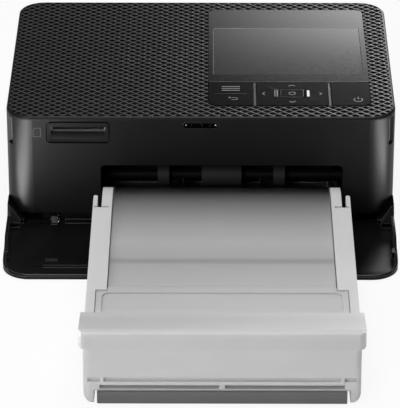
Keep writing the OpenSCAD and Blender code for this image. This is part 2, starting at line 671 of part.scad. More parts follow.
module front_cover() color([0.05, 0.05, 0.055]) placed() {
  rim_top = cover_floor + cover_rim_h;
  difference() {
    union() {
      // Plate with a bevelled upper edge
      difference() {
        translate([0, -cover_reach, 0])
          slab(body_w, cover_reach + 2 * corner_r, corner_r,
               [[0, cover_lift], [0, cover_floor - cover_edge], [cover_edge, cover_floor]]);
        box(-half_w - 1, half_w + 1, -cover_gap, 2 * corner_r + 1, 0, cover_floor + 1);
      }
      // Side rims, falling away to the front
      intersection() {
        along_z(cover_floor - cover_edge, cheek_top) difference() {
          cover_plan(0);
          cover_plan(cover_rim_t);
          translate([-half_w + cover_rim_t, -cover_gap - 4]) square([body_w - 2 * cover_rim_t, 9]);
        }
        along_x(-half_w - 1, half_w + 1)
          polygon([[-cover_reach + 4, cover_floor - cover_edge], [-cover_reach + 16, rim_top],
                   [-30, rim_top], [-24, cheek_top], [5, cheek_top], [5, cover_floor - cover_edge]]);
      }
      // Ears that fill the slanted corners of the case
      for (s = [-1, 1]) intersection() {
        along_y(-6, ear_back)
          polygon([[s * half_w, cover_lift], [s * half_w, ear_top],
                   [s * (half_w - 2), ear_top - 1.6], [s * (half_w - ear_w), front_edge_z - 0.8],
                   [s * (half_w - ear_w), cover_lift]]);
        along_x(-half_w - 1, half_w + 1)
          polygon([[-6, cover_lift], [-6, rim_top], [-0.6, ear_top], [ear_back, ear_top],
                   [ear_back, 4], [ear_back - 3.4, cover_lift]]);
      }
      // Flanges that cover the slits beside the ears and arms
      for (s = [-1, 1]) {
        x = s * (half_w - ear_w - 0.5);
        box(x - 1.1, x + 1.1, -cover_gap - 0.4, ear_back, pan_top + 0.4, pan_top + 1.6);
        box(x - 1.1, x + 1.1, -cover_gap - 1.4, -cover_gap, cover_floor - 0.5, pan_top + 1.6);
        box(s * hinge_x - arm_w / 2 - 0.8, s * hinge_x + arm_w / 2 + 0.8, -cover_gap - 0.4, 2.7,
            pan_top + 0.4, pan_top + 1.4);
      }
      // Raised rear edge between the hinges, ridges and catch hook
      box(-hinge_x + 5, hinge_x - 5, -cover_gap - 1.2, -cover_gap, cover_floor, cover_floor + 2.2);
      box(card_x0 + 0.7, card_x0 + 6, -39.2, -38, cover_floor, cover_floor + 1);
      box(card_x0 - 0.2, card_x0 + 40, -45.4, -44.2, cover_floor, cover_floor + 1.2);
      along_x(-4, 4)
        polygon([[-43, cover_floor], [-43, cover_floor + 2.2], [-41, cover_floor + 2.2],
                 [-41.6, cover_floor + 1.4], [-40, cover_floor]]);
      // Hinge arms
      for (s = [-1, 1]) along_x(s * hinge_x - arm_w / 2, s * hinge_x + arm_w / 2) {
        translate([hinge_y, hinge_z]) circle(hinge_pin_r + 1.1);
        polygon([[-3, cover_lift], [-3, cover_floor + 1], [hinge_y - 0.4, hinge_z + 2.5],
                 [hinge_y + 0.8, hinge_z - 2.4], [1, cover_lift + 0.4]]);
      }
    }
    for (s = [-1, 1])
      rod(s * hinge_x - arm_w, s * hinge_x + arm_w, [hinge_y, hinge_z], hinge_pin_r + run_gap);
  }
  // Snaps near the free corners
  for (s = [-1, 1])
    box(s * (half_w - 1.6) - 0.9, s * (half_w - 1.6) + 0.5, -36, -32, cover_floor - 0.5, rim_top + 0.8);
}

module cover_hinge_pins() color([0.7, 0.7, 0.72]) placed()
  for (s = [-1, 1]) rod(s * hinge_x - 5, s * hinge_x + 5, [hinge_y, hinge_z], hinge_pin_r);

// Ink door and cassette

module ink_door() color([0.05, 0.05, 0.055]) placed() difference() {
  union() {
    along_x(half_w - wall, half_w) difference() {
      rr(door_y0, door_z, door_hinge_y, door_z + door_h, 0.8);
      translate([door_y0 + 3, door_z + door_h / 2 - 6]) rr(0, 0, 1.2, 12, 0.5);
    }
    translate([door_hinge_x, door_hinge_y, door_z]) cylinder(h = door_h, r = door_hinge_r);
    // Ribs and latch tongue inside
    for (z = [door_z + 5, door_z + door_h - 6.4])
      box(half_w - wall - 1.4, half_w - wall, door_y0 + 4, door_hinge_y - 4, z, z + 1.4);
    box(half_w - wall - 3.4, half_w - wall, door_y0 + 0.6, door_y0 + 2, door_z + door_h / 2 - 4,
        door_z + door_h / 2 + 4);
  }
  translate([door_hinge_x, door_hinge_y, door_z - 1]) cylinder(h = door_h + 2, r = door_pin_r + run_gap);
}

module ink_door_pin() color([0.7, 0.7, 0.72]) placed()
  translate([door_hinge_x, door_hinge_y, door_z - 3.8]) cylinder(h = door_h + 7.4, r = door_pin_r);

module eject_lever() color([0.75, 0.75, 0.76]) placed() {
  lever_y0 = supply_at[0];
  along_x(right_x + chassis_t + 0.2, right_x + chassis_t + 1.6) difference() {
    rr(lever_y0, 47.2, lever_y0 + 26, 51.2, 1);
    for (y = [6, 18]) translate([lever_y0 + y, 49.2]) rr(-1.5, -1.5, 5.5, 1.5, 1.49);
  }
  box(right_x + chassis_t + 0.2, right_x + chassis_t + 6, lever_y0, lever_y0 + 1.6, 47.2, 51.2);
}

module ink_tube(at, r1, slot_y0, slot_y1) difference() {
  rod(mouth_x - 61, mouth_x + 60, at, r1);
  rod(mouth_x - 62, mouth_x + 61, at, r1 - 1);
  box(mouth_x - 55, mouth_x + 54, slot_y0, slot_y1, at[1] - 13, at[1] - 4);
}

module ink_shell() color([0.8, 0.8, 0.8]) placed() {
  ink_tube(supply_at, ink_tube_r, supply_at[0] + 1, supply_at[0] + 10);
  ink_tube(takeup_at, ink_tube_r, takeup_at[0] - 10, takeup_at[0] - 1);
  for (x = [mouth_x - 63, mouth_x + 60]) along_x(x, x + 2) difference() {
    union() {
      for (at = [supply_at, takeup_at]) translate(at) circle(ink_tube_r);
      translate([supply_at[0], supply_at[1] + 1]) square([takeup_at[0] - supply_at[0], ink_tube_r - 1]);
    }
    for (at = [supply_at, takeup_at]) translate(at) circle(3 + run_gap);
  }
}

module spool(at, wound) {
  rod(mouth_x - 60.5, mouth_x + 59.5, at, 4);
  rod(mouth_x - 64, mouth_x + 63, at, 3);
  rod(mouth_x - 51, mouth_x + 50, at, wound);
}
module supply_spool() color([0.75, 0.68, 0.2]) placed() spool(supply_at, 7);
module takeup_spool() color([0.35, 0.3, 0.5]) placed() {
  spool(takeup_at, 5);
  rod(left_x - 2, mouth_x - 63.5, takeup_at, shaft_r);
  gear(ribbon_teeth, turn_ribbon, takeup_at, shaft_r - 0.5);
}

module ribbon_film() color([0.7, 0.6, 0.15]) placed() {
  z = platen_at[1] + platen_r + paper_gap + 0.05;
  t = 0.2;
  along_x(mouth_x - 50, mouth_x + 49)
    polygon([[supply_at[0] + 3.6, supply_at[1] - 6.6], [platen_at[0] - 5, z], [platen_at[0] + 5, z],
             [takeup_at[0] - 3.2, takeup_at[1] - 4.8], [takeup_at[0] - 3.2, takeup_at[1] - 4.8 + t],
             [platen_at[0] + 5, z + t], [platen_at[0] - 5, z + t],
             [supply_at[0] + 3.6, supply_at[1] - 6.6 + t]]);
}

// Chassis

module plate_holes() {
  for (at = [pickup_at, capstan_at, pinch_at, platen_at]) translate(at) circle(bush_r + slip);
  translate(head_rod_at) circle(shaft_r + slip);
}

module left_chassis() color([0.62, 0.64, 0.66]) placed() {
  along_x(left_x, left_x + chassis_t) difference() {
    polygon([[6, 6.5], [118, 6.5], [118, 51], [104, 51], [100, 46], [6, 44]]);
    plate_holes();
    for (at = [supply_at, takeup_at]) translate(at) circle(3.6);
    for (at = [idler1_at, idler2_at, idler3_at]) translate(at) circle(1.5 + slip);
    translate([62, 10]) rr(0, 0, 6, 8, 1);
  }
  for (y = [10.5, 102]) box(left_x + chassis_t, left_x + 8, y, y + 12, 6.5, 7.7);
}

module right_chassis() color([0.62, 0.64, 0.66]) placed() {
  along_x(right_x, right_x + chassis_t) difference() {
    polygon([[6, 6.5], [118, 6.5], [118, 52], [50, 52], [46, 44], [6, 44]]);
    plate_holes();
    // Way in for the ink cassette
    rr(supply_at[0] - ink_tube_r - 1, 24.6, takeup_at[0] + ink_tube_r + 1, 45.6, 3);
  }
  for (y = [10.5, 102]) box(right_x - 7, right_x, y, y + 12, 6.5, 7.7);
  // Headed studs for the eject lever
  for (y = [8, 20]) {
    rod(right_x + chassis_t, right_x + chassis_t + 2, [supply_at[0] + y - 0.4, 49.2], 1.2);
    rod(right_x + chassis_t + 1.9, right_x + chassis_t + 2.7, [supply_at[0] + y - 0.4, 49.2], 2.2);
  }
}

module chassis_ties() color([0.62, 0.64, 0.66]) placed() {
  box(left_x + chassis_t, right_x, 106, 107.2, 28, 44);
  box(left_x + chassis_t, right_x, 106, 112, 28, 29.2);
  box(left_x + chassis_t, right_x, 27, 32, 35, 36.2);
}

module bush(x, at) difference() {
  union() {
    rod(x - 0.8, x + chassis_t + 0.8, at, bush_r);
    rod(x + chassis_t + slip, x + chassis_t + 0.8, at, bush_r + 1);
  }
  rod(x - 2, x + 4, at, shaft_r + run_gap);
}
module shaft_bushes() color([0.8, 0.65, 0.35]) placed()
  for (x = [left_x, right_x], at = [pickup_at, capstan_at, pinch_at, platen_at]) bush(x, at);

module head_rod() color([0.75, 0.76, 0.78]) placed()
  rod(left_x - 0.8, right_x + chassis_t + 0.8, head_rod_at, shaft_r);

module mouth_duct() color([0.06, 0.06, 0.065]) placed() difference() {
  along_y(wall + 0.1, 25.6) difference() {
    rr(mouth_x0 - 1.5, 4, mouth_x1 + 1.5, mouth_top + 1.4, mouth_r + 1.4);
    rr(mouth_x0, 0, mouth_x1, mouth_top, mouth_r);
    translate([mouth_x0 - 3, 0]) square([mouth_w + 6, front_edge_z + 1.6]);
  }
  rod(mouth_x0 - 4, mouth_x1 + 4, pickup_at, shaft_r + 1);
}

// Lower paper guide: a ramp behind the cassette, then two bridges round the platen
module paper_guide() color([0.1, 0.1, 0.11]) placed() {
  top = capstan_at[1] + capstan_r - 0.2;
  z0 = pan_top;
  f = z0 + 1.8;
  a = capstan_at[0] + capstan_r + 2;
  b = platen_at[0] - platen_r - 2;
  c = platen_at[0] + platen_r + 2;
  e = body_d - wall - 2;
  along_x(mouth_x - 52.8, mouth_x + 52.7)
    polygon([[tail_depth + 3, z0], [e, z0], [e, top], [c, top], [c, top - 1.8], [e - 1.8, top - 1.8],
             [e - 1.8, f], [b, f], [b, top], [a, top], [a, top - 1.8], [b - 1.8, top - 1.8],
             [b - 1.8, f], [capstan_at[0] - capstan_r - 1, f], [capstan_at[0] - capstan_r - 1, top - 0.8],
             [capstan_at[0] - capstan_r - 3, top - 0.8], [tail_depth + 3, tray_z + 3.6]]);
}

// Shafts and rollers

module pickup_shaft() color([0.78, 0.79, 0.8]) placed() {
  rod(gear_x0 - 0.6, right_x + 2.4, pickup_at, shaft_r);
  gear(pickup_teeth, turn_pickup, pickup_at, shaft_r - 0.2, 5);
}
module pickup_rollers() color([0.25, 0.25, 0.26]) placed()
  for (p = [[-27.5, 5.4], [0, 18.8], [27.2, 5.4]])
    along_x(mouth_x + p[0] - p[1] / 2, mouth_x + p[0] + p[1] / 2) translate(pickup_at) difference() {
      circle(pickup_r);
      circle(shaft_r + slip);
    }
module capstan() color([0.7, 0.7, 0.72]) placed() {
  rod(gear_x0 - 0.6, right_x + 2.4, capstan_at, shaft_r);
  rod(roll_x0, roll_x1, capstan_at, capstan_r);
  gear(main_teeth, turn_capstan, capstan_at, shaft_r - 0.2, 6);
}
module pinch_roller() color([0.3, 0.3, 0.3]) placed() {
  rod(left_x - 0.8, right_x + 2.4, pinch_at, shaft_r);
  for (x = [roll_x0 + 2, mouth_x - 12, roll_x1 - 26]) rod(x, x + 24, pinch_at, pinch_r);
}
module platen_roller() color([0.2, 0.2, 0.2]) placed() {
  rod(gear_x0 - 0.6, right_x + 2.4, platen_at, shaft_r);
  rod(roll_x0, roll_x1, platen_at, platen_r);
  gear(main_teeth, turn_platen, platen_at, shaft_r - 0.2, 6);
}

module print_head() color([0.7, 0.71, 0.73]) placed() {
  z = platen_at[1] + platen_r + 0.8;
  y = platen_at[0];
  box(roll_x0 + 1, roll_x1 - 1, y - 3, y + 3, z, z + 0.9);
  difference() {
    box(roll_x0, roll_x1, y - 5, y + 5, z + 0.9, z + 9);
    for (k = [-3.6, -1.2, 1.2]) box(roll_x0 - 1, roll_x1 + 1, y + k, y + k + 1.2, z + 4, z + 10);
  }
}

module head_arm() color([0.65, 0.66, 0.68]) placed() {
  top = head_rod_at[1] - 0.4;
  y = platen_at[0];
  z = platen_at[1] + platen_r + 9.8;
  difference() {
    union() {
      box(mouth_x - 49, mouth_x + 49, y - 5, head_rod_at[0], top - 1.2, top);
      box(mouth_x - 49, mouth_x + 49, y - 5, y - 2.4, z, top);
      for (x = [mouth_x - 49, mouth_x + 41]) rod(x, x + 8, head_rod_at, shaft_r + 1.2);
    }
    rod(mouth_x - 50, mouth_x + 50, head_rod_at, shaft_r + run_gap);
    for (x = [-38, -12, 14]) box(mouth_x + x, mouth_x + x + 24, y + 4, y + 28, top - 3, top + 1);
    box(mouth_x - 40.8, mouth_x + 40.8, head_rod_at[0] - 3.6, head_rod_at[0] + 4, top - 3, top + 1);
  }
}

// Gear train

module gear_posts() color([0.7, 0.71, 0.73]) placed()
  for (at = [idler1_at, idler2_at, idler3_at]) {
    rod(gear_x0 - 0.3, left_x + chassis_t, at, 1.5);
    rod(gear_x0 - 1.1, gear_x0 - 0.3, at, 2.4);
  }
module pickup_idler() color([0.9, 0.9, 0.88]) placed()
  gear(idler1_teeth, turn_idler1, idler1_at, 1.5 + run_gap);
module platen_idler() color([0.9, 0.9, 0.88]) placed()
  gear(idler2_teeth, turn_idler2, idler2_at, 1.5 + run_gap, 6);
module ribbon_idler() color([0.9, 0.9, 0.88]) placed()
  gear(idler3_teeth, turn_idler3, idler3_at, 1.5 + run_gap);
module motor_pinion() color([0.85, 0.75, 0.4]) placed() {
  rod(gear_x0 - 1.6, gear_x1, pinion_at, 1);
  gear(pinion_teeth, turn_pinion, pinion_at, 0.8);
}
module feed_motor() color([0.55, 0.56, 0.58]) placed() {
  x1 = gear_x0 - 2.6;
  difference() {
    union() {
      rod(-in_w + 0.8, x1 - 0.8, pinion_at, 10);
      rod(x1 - 0.8, x1 + 0.8, pinion_at, 4);
    }
    rod(x1 - 3, x1 + 2, pinion_at, 1 + run_gap);
  }
}
module motor_bracket() color([0.62, 0.64, 0.66]) placed() {
  x0 = gear_x0 - 3.2;
  posts = [pinion_at + [-15, 9.6], pinion_at + [13, 9.6]];
  along_x(x0, x0 + 1) difference() {
    rr(pinion_at[0] - 18, pinion_at[1] - 8, pinion_at[0] + 16, pinion_at[1] + 12.4, 2);
    translate(pinion_at) circle(4 + slip);
  }
  for (at = posts) rod(x0 + 1, left_x, at, 2);
}

// Electronics and sockets

module main_board() color([0.1, 0.35, 0.18]) placed() {
  box(-in_w + 2, -48, board_y, board_y + 1.6, 8, 48);
  // Chips and two capacitors
  for (p = [[-80, 26, 12, 12], [-62, 28, 9, 6], [-62, 38, 6, 6]])
    box(p[0], p[0] + p[2], board_y - 1.4, board_y, p[1], p[1] + p[3]);
  along_y(board_y - 6, board_y) for (x = [-84, -53]) translate([x, 18]) circle(3);
}

module dc_jack() color([0.08, 0.08, 0.085]) placed() {
  difference() {
    union() {
      along_y(board_y + 1.6, body_d - wall - 0.2) translate(jack_at) rr(-5, -5.5, 5, 4.5, 0.5);
      along_y(body_d - wall - 0.3, body_d + 0.0) translate(jack_at) circle(4.3);
    }
    along_y(board_y + 2.6, body_d + 1) translate(jack_at) circle(2.75);
  }
  along_y(board_y + 2.2, body_d - 2.4) translate(jack_at) circle(0.85);
}

module usb_port() color([0.75, 0.76, 0.78]) placed() difference() {
  along_y(board_y + 1.6, body_d - 0.2) translate(usb_at) rr(-4.6, -1.75, 4.6, 1.75, 1.6);
  along_y(board_y + 3, body_d + 1) translate(usb_at) rr(-4.3, -1.45, 4.3, 1.45, 1.3);
  along_y(board_y, board_y + 2) translate(usb_at) rr(-4.3, -1.45, 4.3, 1.45, 1.3);
}

// Paper cassette

module cass() placed() translate([mouth_x, 0, 0]) children();

module cassette_tray() color([0.82, 0.83, 0.84, 0.6]) cass() {
  beam_top = foot_bar_h + 0.8;
  step = tray_front - 1.4;
  cheek_in = foot_bar_w / 2 + 1.3;
  difference() {
    union() {
      // Floor
      along_z(tray_z, tray_floor) {
        translate([-cass_half, -tray_front]) square([cassette_w, tray_front - tail_step]);
        translate([-tail_half, -tail_step - 1]) square([tail_w, tail_depth + tail_step + 1]);
      }
      // Front wall in two steps, and the beam over the foot
      box(-cass_half, cass_half, -tray_front, -tray_front + tray_t, 12.2, rail_top - 1.6);
      box(-cass_half, cass_half, -step, -step + tray_t, tray_z, 12.6);
      box(-cheek_in, cheek_in, -tray_front, -tray_front + 3.4, foot_bar_h, beam_top);
      for (x = [-cheek_in, -1.2, cheek_in - 2.4])
        box(x, x + 2.4, -tray_front, -tray_front + 3, beam_top - 0.5, tray_z + 0.5);
      // Rear wall
      box(-tail_half, tail_half, tail_depth - tray_t, tail_depth, tray_z, tray_floor + 2.4);
      for (s = [-1, 1]) {
        // Outer walls with free arms at the back
        along_z(tray_z, rail_top) {
          translate([s * (cass_half - cass_wall / 2) - cass_wall / 2, -tray_front])
            square([cass_wall, tray_front - arm_back - cass_wall / 2]);
          translate([s * (cass_half - cass_wall / 2), -arm_back - cass_wall / 2]) circle(cass_wall / 2);
        }
        // Ledges along the rails
        rail_ledge(s, -tray_front, cap_wide_y, cap_half + 0.3, cass_half - 0.5);
        rail_ledge(s, cap_wide_y, -tail_step, rail_in, cass_half - 0.5);
        rail_ledge(s, -tail_step - 1, -arm_end, rail_in, tail_half);
        // Roof over the tail's double walls
        along_x(s * (rail_in + tail_half) / 2 - (tail_half - rail_in) / 2,
                s * (rail_in + tail_half) / 2 + (tail_half - rail_in) / 2)
          polygon(concat(tail_curve, [for (i = [len(tail_curve) - 1:-1:0]) tail_curve[i] - [0, tray_t]]));
        // Inner walls, falling away towards the back
        for (x = [rail_in, tail_half - tray_t])
          along_x(s * (x + tray_t / 2) - tray_t / 2, s * (x + tray_t / 2) + tray_t / 2)
            if (x == rail_in) rail_profile();
            else tail_profile(-tail_step - 1);
        box(s * (cass_half + rail_in) / 2 - (cass_half - rail_in) / 2 + (s > 0 ? 0 : 0.5),
            s * (cass_half + rail_in) / 2 + (cass_half - rail_in) / 2 - (s > 0 ? 0.5 : 0),
            -tail_step - tray_t, -tail_step, tray_z, rail_top - 0.2);
        // Side feet, rounded at their outer lower corners
        intersection() {
          box(s > 0 ? cheek_in : -cass_half, s > 0 ? cass_half : -cheek_in,
              -tray_front, -tray_front + 16, 0, 9);
          along_y(-tray_front - 1, -tray_front + 17) rr(-cass_half, 0, cass_half, 60, 4);
        }
      }
    }
    // Round upright corners at the front
    difference() {
      box(-cass_half - 1, cass_half + 1, -tray_front - 1, 0, -1, rail_top + 1);
      along_z(-2, rail_top + 2) rr(-cass_half, -tray_front, cass_half, 9, tray_r);
    }
    // Bores for the pins of the outer lid and the lift plate
    for (s = [-1, 1]) {
      rod(s * rail_in - 3, s * rail_in + 3, [cap_hinge_y, cap_hinge_z], 1 + run_gap);
      rod(s * rail_in - 3, s * rail_in + 3, [-28, tray_floor + 1.3], 0.6 + run_gap);
    }
    // Notches in front of the tail's corners
    for (s = [-1, 1])
      box(s * tail_half - 3.3, s * tail_half + 3.3, -tail_step, -tail_step + 1.5, rail_top - 3, 40);
    // Openings for the printer's lifter
    for (x = [-20, 20]) translate([x, 8, tray_z - 1]) cylinder(h = 4, r = 4);
  }
}

module rail_ledge(s, y0, y1, inner, out)
  box(s > 0 ? inner : -out, s > 0 ? out : -inner, y0, y1, rail_top - tray_t, rail_top);

// Upper edge of the tail's walls, a quarter of an ellipse
tail_steps = 6;
tail_curve = [for (i = [0:tail_steps]) [-arm_end + (arm_end - 2) * sin(90 * i / tail_steps),
                                        rail_top - 9 * (1 - cos(90 * i / tail_steps))]];

// Side view of the tail's walls
module tail_profile(y0)
  polygon(concat([[y0, tray_z], [y0, rail_top]], tail_curve,
    [[tail_depth - 6, rail_top - 9.6 - 4], [tail_depth, tray_floor + 2.4], [tail_depth, tray_z]]));

// The inner walls are lower under the wide part of the outer lid
module rail_profile() {
  tail_profile(cap_wide_y);
  translate([-tray_front, tray_z])
    square([tray_front + cap_wide_y + 1, cap_hinge_z - 0.6 - tray_z]);
}

// Inner lid: flat, then curving down to its back edge with two tongues
function lid_curve(t) = [-25.6 + 29.6 * t, lid_top - 6 * t * t];
module lid_strip(y_end, z_end) {
  steps = 6;
  top = concat([[-106.2, lid_top]], [for (i = [0:steps]) lid_curve(i / steps)], [[y_end, z_end]]);
  polygon(concat(top, [for (i = [len(top) - 1:-1:0]) top[i] - [0, lid_t]]));
}
module inner_lid() color([0.72, 0.73, 0.74, 0.6]) cass() {
  along_x(-lid_w / 2, lid_w / 2) lid_strip(4.6, lid_top - 6.2);
  for (x = [-20.5, 20.5]) along_x(x - 2.5, x + 2.5) lid_strip(15.5, lid_top - 7);
  // Stiffening flanges and the step across the lid
  for (s = [-1, 1])
    box(s * (lid_w / 2 - 0.8) - 0.8, s * (lid_w / 2 - 0.8) + 0.8, -106.2, -26, lid_top - 5, lid_top);
  box(-lid_w / 2, lid_w / 2, -81, -80.2, lid_top - 3, lid_top);
  for (x = [-30, 0, 30]) box(x - 0.6, x + 0.6, -100, -30, lid_top - 3, lid_top - 1);
}

// What is cut off the bar's two front corners to make them round
module bar_corners(f) difference() {
  box(-bar_w / 2 - 1, bar_w / 2 + 1, -f - 1, -f + bar_r, 20, 50);
  along_z(19, 51) rr(-bar_w / 2, -f, bar_w / 2, -f + 3 * bar_r, bar_r);
}

// Outer lid with its sunken panel, ramp and bar
module outer_lid() color([0.8, 0.81, 0.82, 0.6]) cass() {
  top = cap_hinge_z + 1.6;
  f = tray_front + 1.4;
  sunk = 0.9;
  panel_half = cap_half - 2.6;
  difference() {
    union() {
      along_x(-lid_w / 2 + 0.1, lid_w / 2 - 0.1) {
        translate([cap_hinge_y, cap_hinge_z]) circle(1.6);
        polygon([[cap_hinge_y, top], [-wing_back, top], [-158, bar_top], [-f + 0.6, bar_top],
                 [-f, bar_top - 0.6], [-f, 26.6], [-f + 1.3, 26.6], [-f + 1.3, bar_top - cap_t],
                 [-158, bar_top - cap_t], [-wing_back, top - cap_t], [cap_hinge_y, top - cap_t - 0.6]]);
      }
      // Wide part between the rails
      along_x(-cap_half, cap_half)
        polygon([[cap_wide_y - 0.6, top], [-wing_back - 0.5, top], [-wing_back - 0.5, top - cap_t],
                 [cap_wide_y - 2.2, top - cap_t]]);
    }
    along_z(top - sunk, top + 1) rr(-panel_half, -wing_back + 2.4, panel_half, cap_wide_y - 1.8, 3.5);
    bar_corners(f);
  }
  // Bar and wings, over the rails
  wing_low = rail_top + 0.35;
  difference() {
    union() {
      along_x(-bar_w / 2, bar_w / 2)
        polygon([[-wing_back, wing_low], [-wing_back, wing_low + 1.6], [-158, bar_top], [-f + 0.6, bar_top],
                 [-f, bar_top - 0.6], [-f, 26.6], [-f + 1.3, 26.6], [-f + 1.3, wing_low]]);
      for (s = [-1, 1]) along_x(s * (bar_w / 2 - 0.65) - 0.65, s * (bar_w / 2 - 0.65) + 0.65)
        polygon([[-wing_back - 6, wing_low + 1], [-f + 1, wing_low + 1], [-f + 0.2, 26.8], [-f + 4, 26.8]]);
    }
    along_x(-bar_w / 2 + cap_t, bar_w / 2 - cap_t)
      polygon([[-wing_back - 4, wing_low - 1], [-wing_back - 4, wing_low + 0.9], [-157.4, bar_top - cap_t],
               [-f + 1.3, bar_top - cap_t], [-f + 1.3, wing_low - 1]]);
    along_x(-lid_w / 2 + 0.1, lid_w / 2 - 0.1)
      polygon([[-wing_back + 1, wing_low - 2], [-wing_back + 1, 40], [-wing_back - 0.01, 40],
               [-wing_back - 0.01, wing_low - 2]]);
    bar_corners(f);
  }
  for (s = [-1, 1])
    rod(s * (lid_w / 2 + 0.7) - 1, s * (lid_w / 2 + 0.7) + 1, [cap_hinge_y, cap_hinge_z], 1);
}

module lift_plate() color([0.6, 0.61, 0.63]) cass() {
  z = tray_floor + 0.7;
  difference() {
    box(-47, 47, -30, 20, z, z + 1.2);
    for (x = [-32, 0, 32]) translate([x, 0, z - 1]) cylinder(h = 4, r = 3);
  }
  for (s = [-1, 1]) rod(s * 49.2 - 2.4, s * 49.2 + 2.4, [-28, z + 0.6], 0.6);
}

module foot_bar() color([0.16, 0.16, 0.165]) cass()
  box(-foot_bar_w / 2, foot_bar_w / 2, -cassette_reach, -tray_front + 4, 0, foot_bar_h);

base_pan();
case_shell();
top_cover();
panel_bezel();
display_lens();
lcd_module();
key_frame();
key_dividers();
menu_key();
menu_pin();
nav_pivot();
nav_key();
ok_key();
power_key();
key_membrane();
card_slot_bezel();
card_reader();
catch_pocket();
front_cover();
cover_hinge_pins();
rubber_feet();
ink_door();
ink_door_pin();
eject_lever();
ink_shell();
supply_spool();
takeup_spool();
ribbon_film();
left_chassis();
right_chassis();
chassis_ties();
shaft_bushes();
mouth_duct();
paper_guide();
pickup_shaft();
pickup_rollers();
capstan();
pinch_roller();
platen_roller();
print_head();
head_arm();
head_rod();
feed_motor();
motor_bracket();
motor_pinion();
gear_posts();
pickup_idler();
platen_idler();
ribbon_idler();
main_board();
dc_jack();
usb_port();
cassette_tray();
inner_lid();
outer_lid();
lift_plate();
foot_bar();
case_screws();
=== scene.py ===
"""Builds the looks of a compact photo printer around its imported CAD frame."""
import math

import bmesh
import bpy
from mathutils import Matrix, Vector


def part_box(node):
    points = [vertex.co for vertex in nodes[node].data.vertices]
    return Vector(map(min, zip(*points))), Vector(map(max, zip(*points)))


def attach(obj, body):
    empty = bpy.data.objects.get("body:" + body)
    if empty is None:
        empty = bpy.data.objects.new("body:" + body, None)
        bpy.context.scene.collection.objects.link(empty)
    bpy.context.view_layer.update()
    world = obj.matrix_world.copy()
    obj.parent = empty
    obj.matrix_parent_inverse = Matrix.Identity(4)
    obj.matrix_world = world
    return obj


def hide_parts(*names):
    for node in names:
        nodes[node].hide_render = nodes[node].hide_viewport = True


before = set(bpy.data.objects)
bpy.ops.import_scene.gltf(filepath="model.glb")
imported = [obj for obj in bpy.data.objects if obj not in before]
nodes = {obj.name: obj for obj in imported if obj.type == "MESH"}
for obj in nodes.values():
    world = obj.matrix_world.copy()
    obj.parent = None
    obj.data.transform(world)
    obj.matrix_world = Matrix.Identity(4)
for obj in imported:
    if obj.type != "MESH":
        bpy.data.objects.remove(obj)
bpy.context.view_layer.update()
MM = 0.001
BACKWARD = Vector((0, 1, 0))
UPWARD = Vector((0, 0, 1))

# Lengths are written in millimetres and turned into the frame's metres by MM. Only those of the
# stage, its lights and its camera are written in metres.


# Shader building blocks

def new_material(name):
    """A new material, its node tree and its main shader."""
    mat = bpy.data.materials.new(name)
    mat.use_nodes = True
    return mat, mat.node_tree, mat.node_tree.nodes["Principled BSDF"]


def feed(tree, socket, value):
    """Links a socket to another node's output, or sets it to a plain value."""
    if isinstance(value, bpy.types.NodeSocket):
        tree.links.new(value, socket)
    else:
        socket.default_value = value


def object_coords(tree):
    """The place on the object, which is the place in the frame, in metres."""
    return tree.nodes.new("ShaderNodeTexCoord").outputs["Object"]


def separate_axes(tree):
    """The X, Y and Z of the place on the object."""
    split = tree.nodes.new("ShaderNodeSeparateXYZ")
    tree.links.new(object_coords(tree), split.inputs["Vector"])
    return split.outputs


def noise(tree, grain, detail=3.0, stretch=None):
    """Noise whose features are about grain across. Stretch scales it along each axis."""
    node = tree.nodes.new("ShaderNodeTexNoise")
    node.inputs["Scale"].default_value = 1 / (grain * MM)
    node.inputs["Detail"].default_value = detail
    coords = object_coords(tree)
    if stretch:
        mapping = tree.nodes.new("ShaderNodeMapping")
        mapping.inputs["Scale"].default_value = stretch
        tree.links.new(coords, mapping.inputs["Vector"])
        coords = mapping.outputs["Vector"]
    tree.links.new(coords, node.inputs["Vector"])
    return node.outputs["Fac"]


def ramp(tree, value, low, high, start_at=0.3, end_at=0.7):
    """A number that runs from low to high as value runs from start_at to end_at."""
    node = tree.nodes.new("ShaderNodeMapRange")
    node.inputs["From Min"].default_value = start_at
    node.inputs["From Max"].default_value = end_at
    node.inputs["To Min"].default_value = low
    node.inputs["To Max"].default_value = high
    tree.links.new(value, node.inputs["Value"])
    return node.outputs["Result"]


def product(tree, first, second):
    """One number times another. Each can be a plain value or an output."""
    node = tree.nodes.new("ShaderNodeMath")
    node.operation = "MULTIPLY"
    feed(tree, node.inputs[0], first)
    feed(tree, node.inputs[1], second)
    return node.outputs[0]


def blend(tree, factor, first, second, kind="MIX"):
    """A colour mixed from two others. Each can be a plain colour or an output."""
    node = tree.nodes.new("ShaderNodeMix")
    node.data_type = "RGBA"
    node.blend_type = kind
    feed(tree, node.inputs["Factor"], factor)
    feed(tree, node.inputs["A"], first)
    feed(tree, node.inputs["B"], second)
    return node.outputs["Result"]


def tint(tree, value, dark, light):
    """A colour that runs from dark to light as the noise in value rises."""
    return blend(tree, ramp(tree, value, 0, 1), (*dark, 1), (*light, 1))


def scaled(color, share):
    """A colour with each of its parts multiplied by share."""
    return [part * share for part in color]


def bump(tree, shader, height, depth, strength=0.5):
    """A fine grain on the surface, about depth high."""
    node = tree.nodes.new("ShaderNodeBump")
    node.inputs["Strength"].default_value = strength
    node.inputs["Distance"].default_value = depth * MM
    tree.links.new(height, node.inputs["Height"])
    tree.links.new(node.outputs["Normal"], shader.inputs["Normal"])


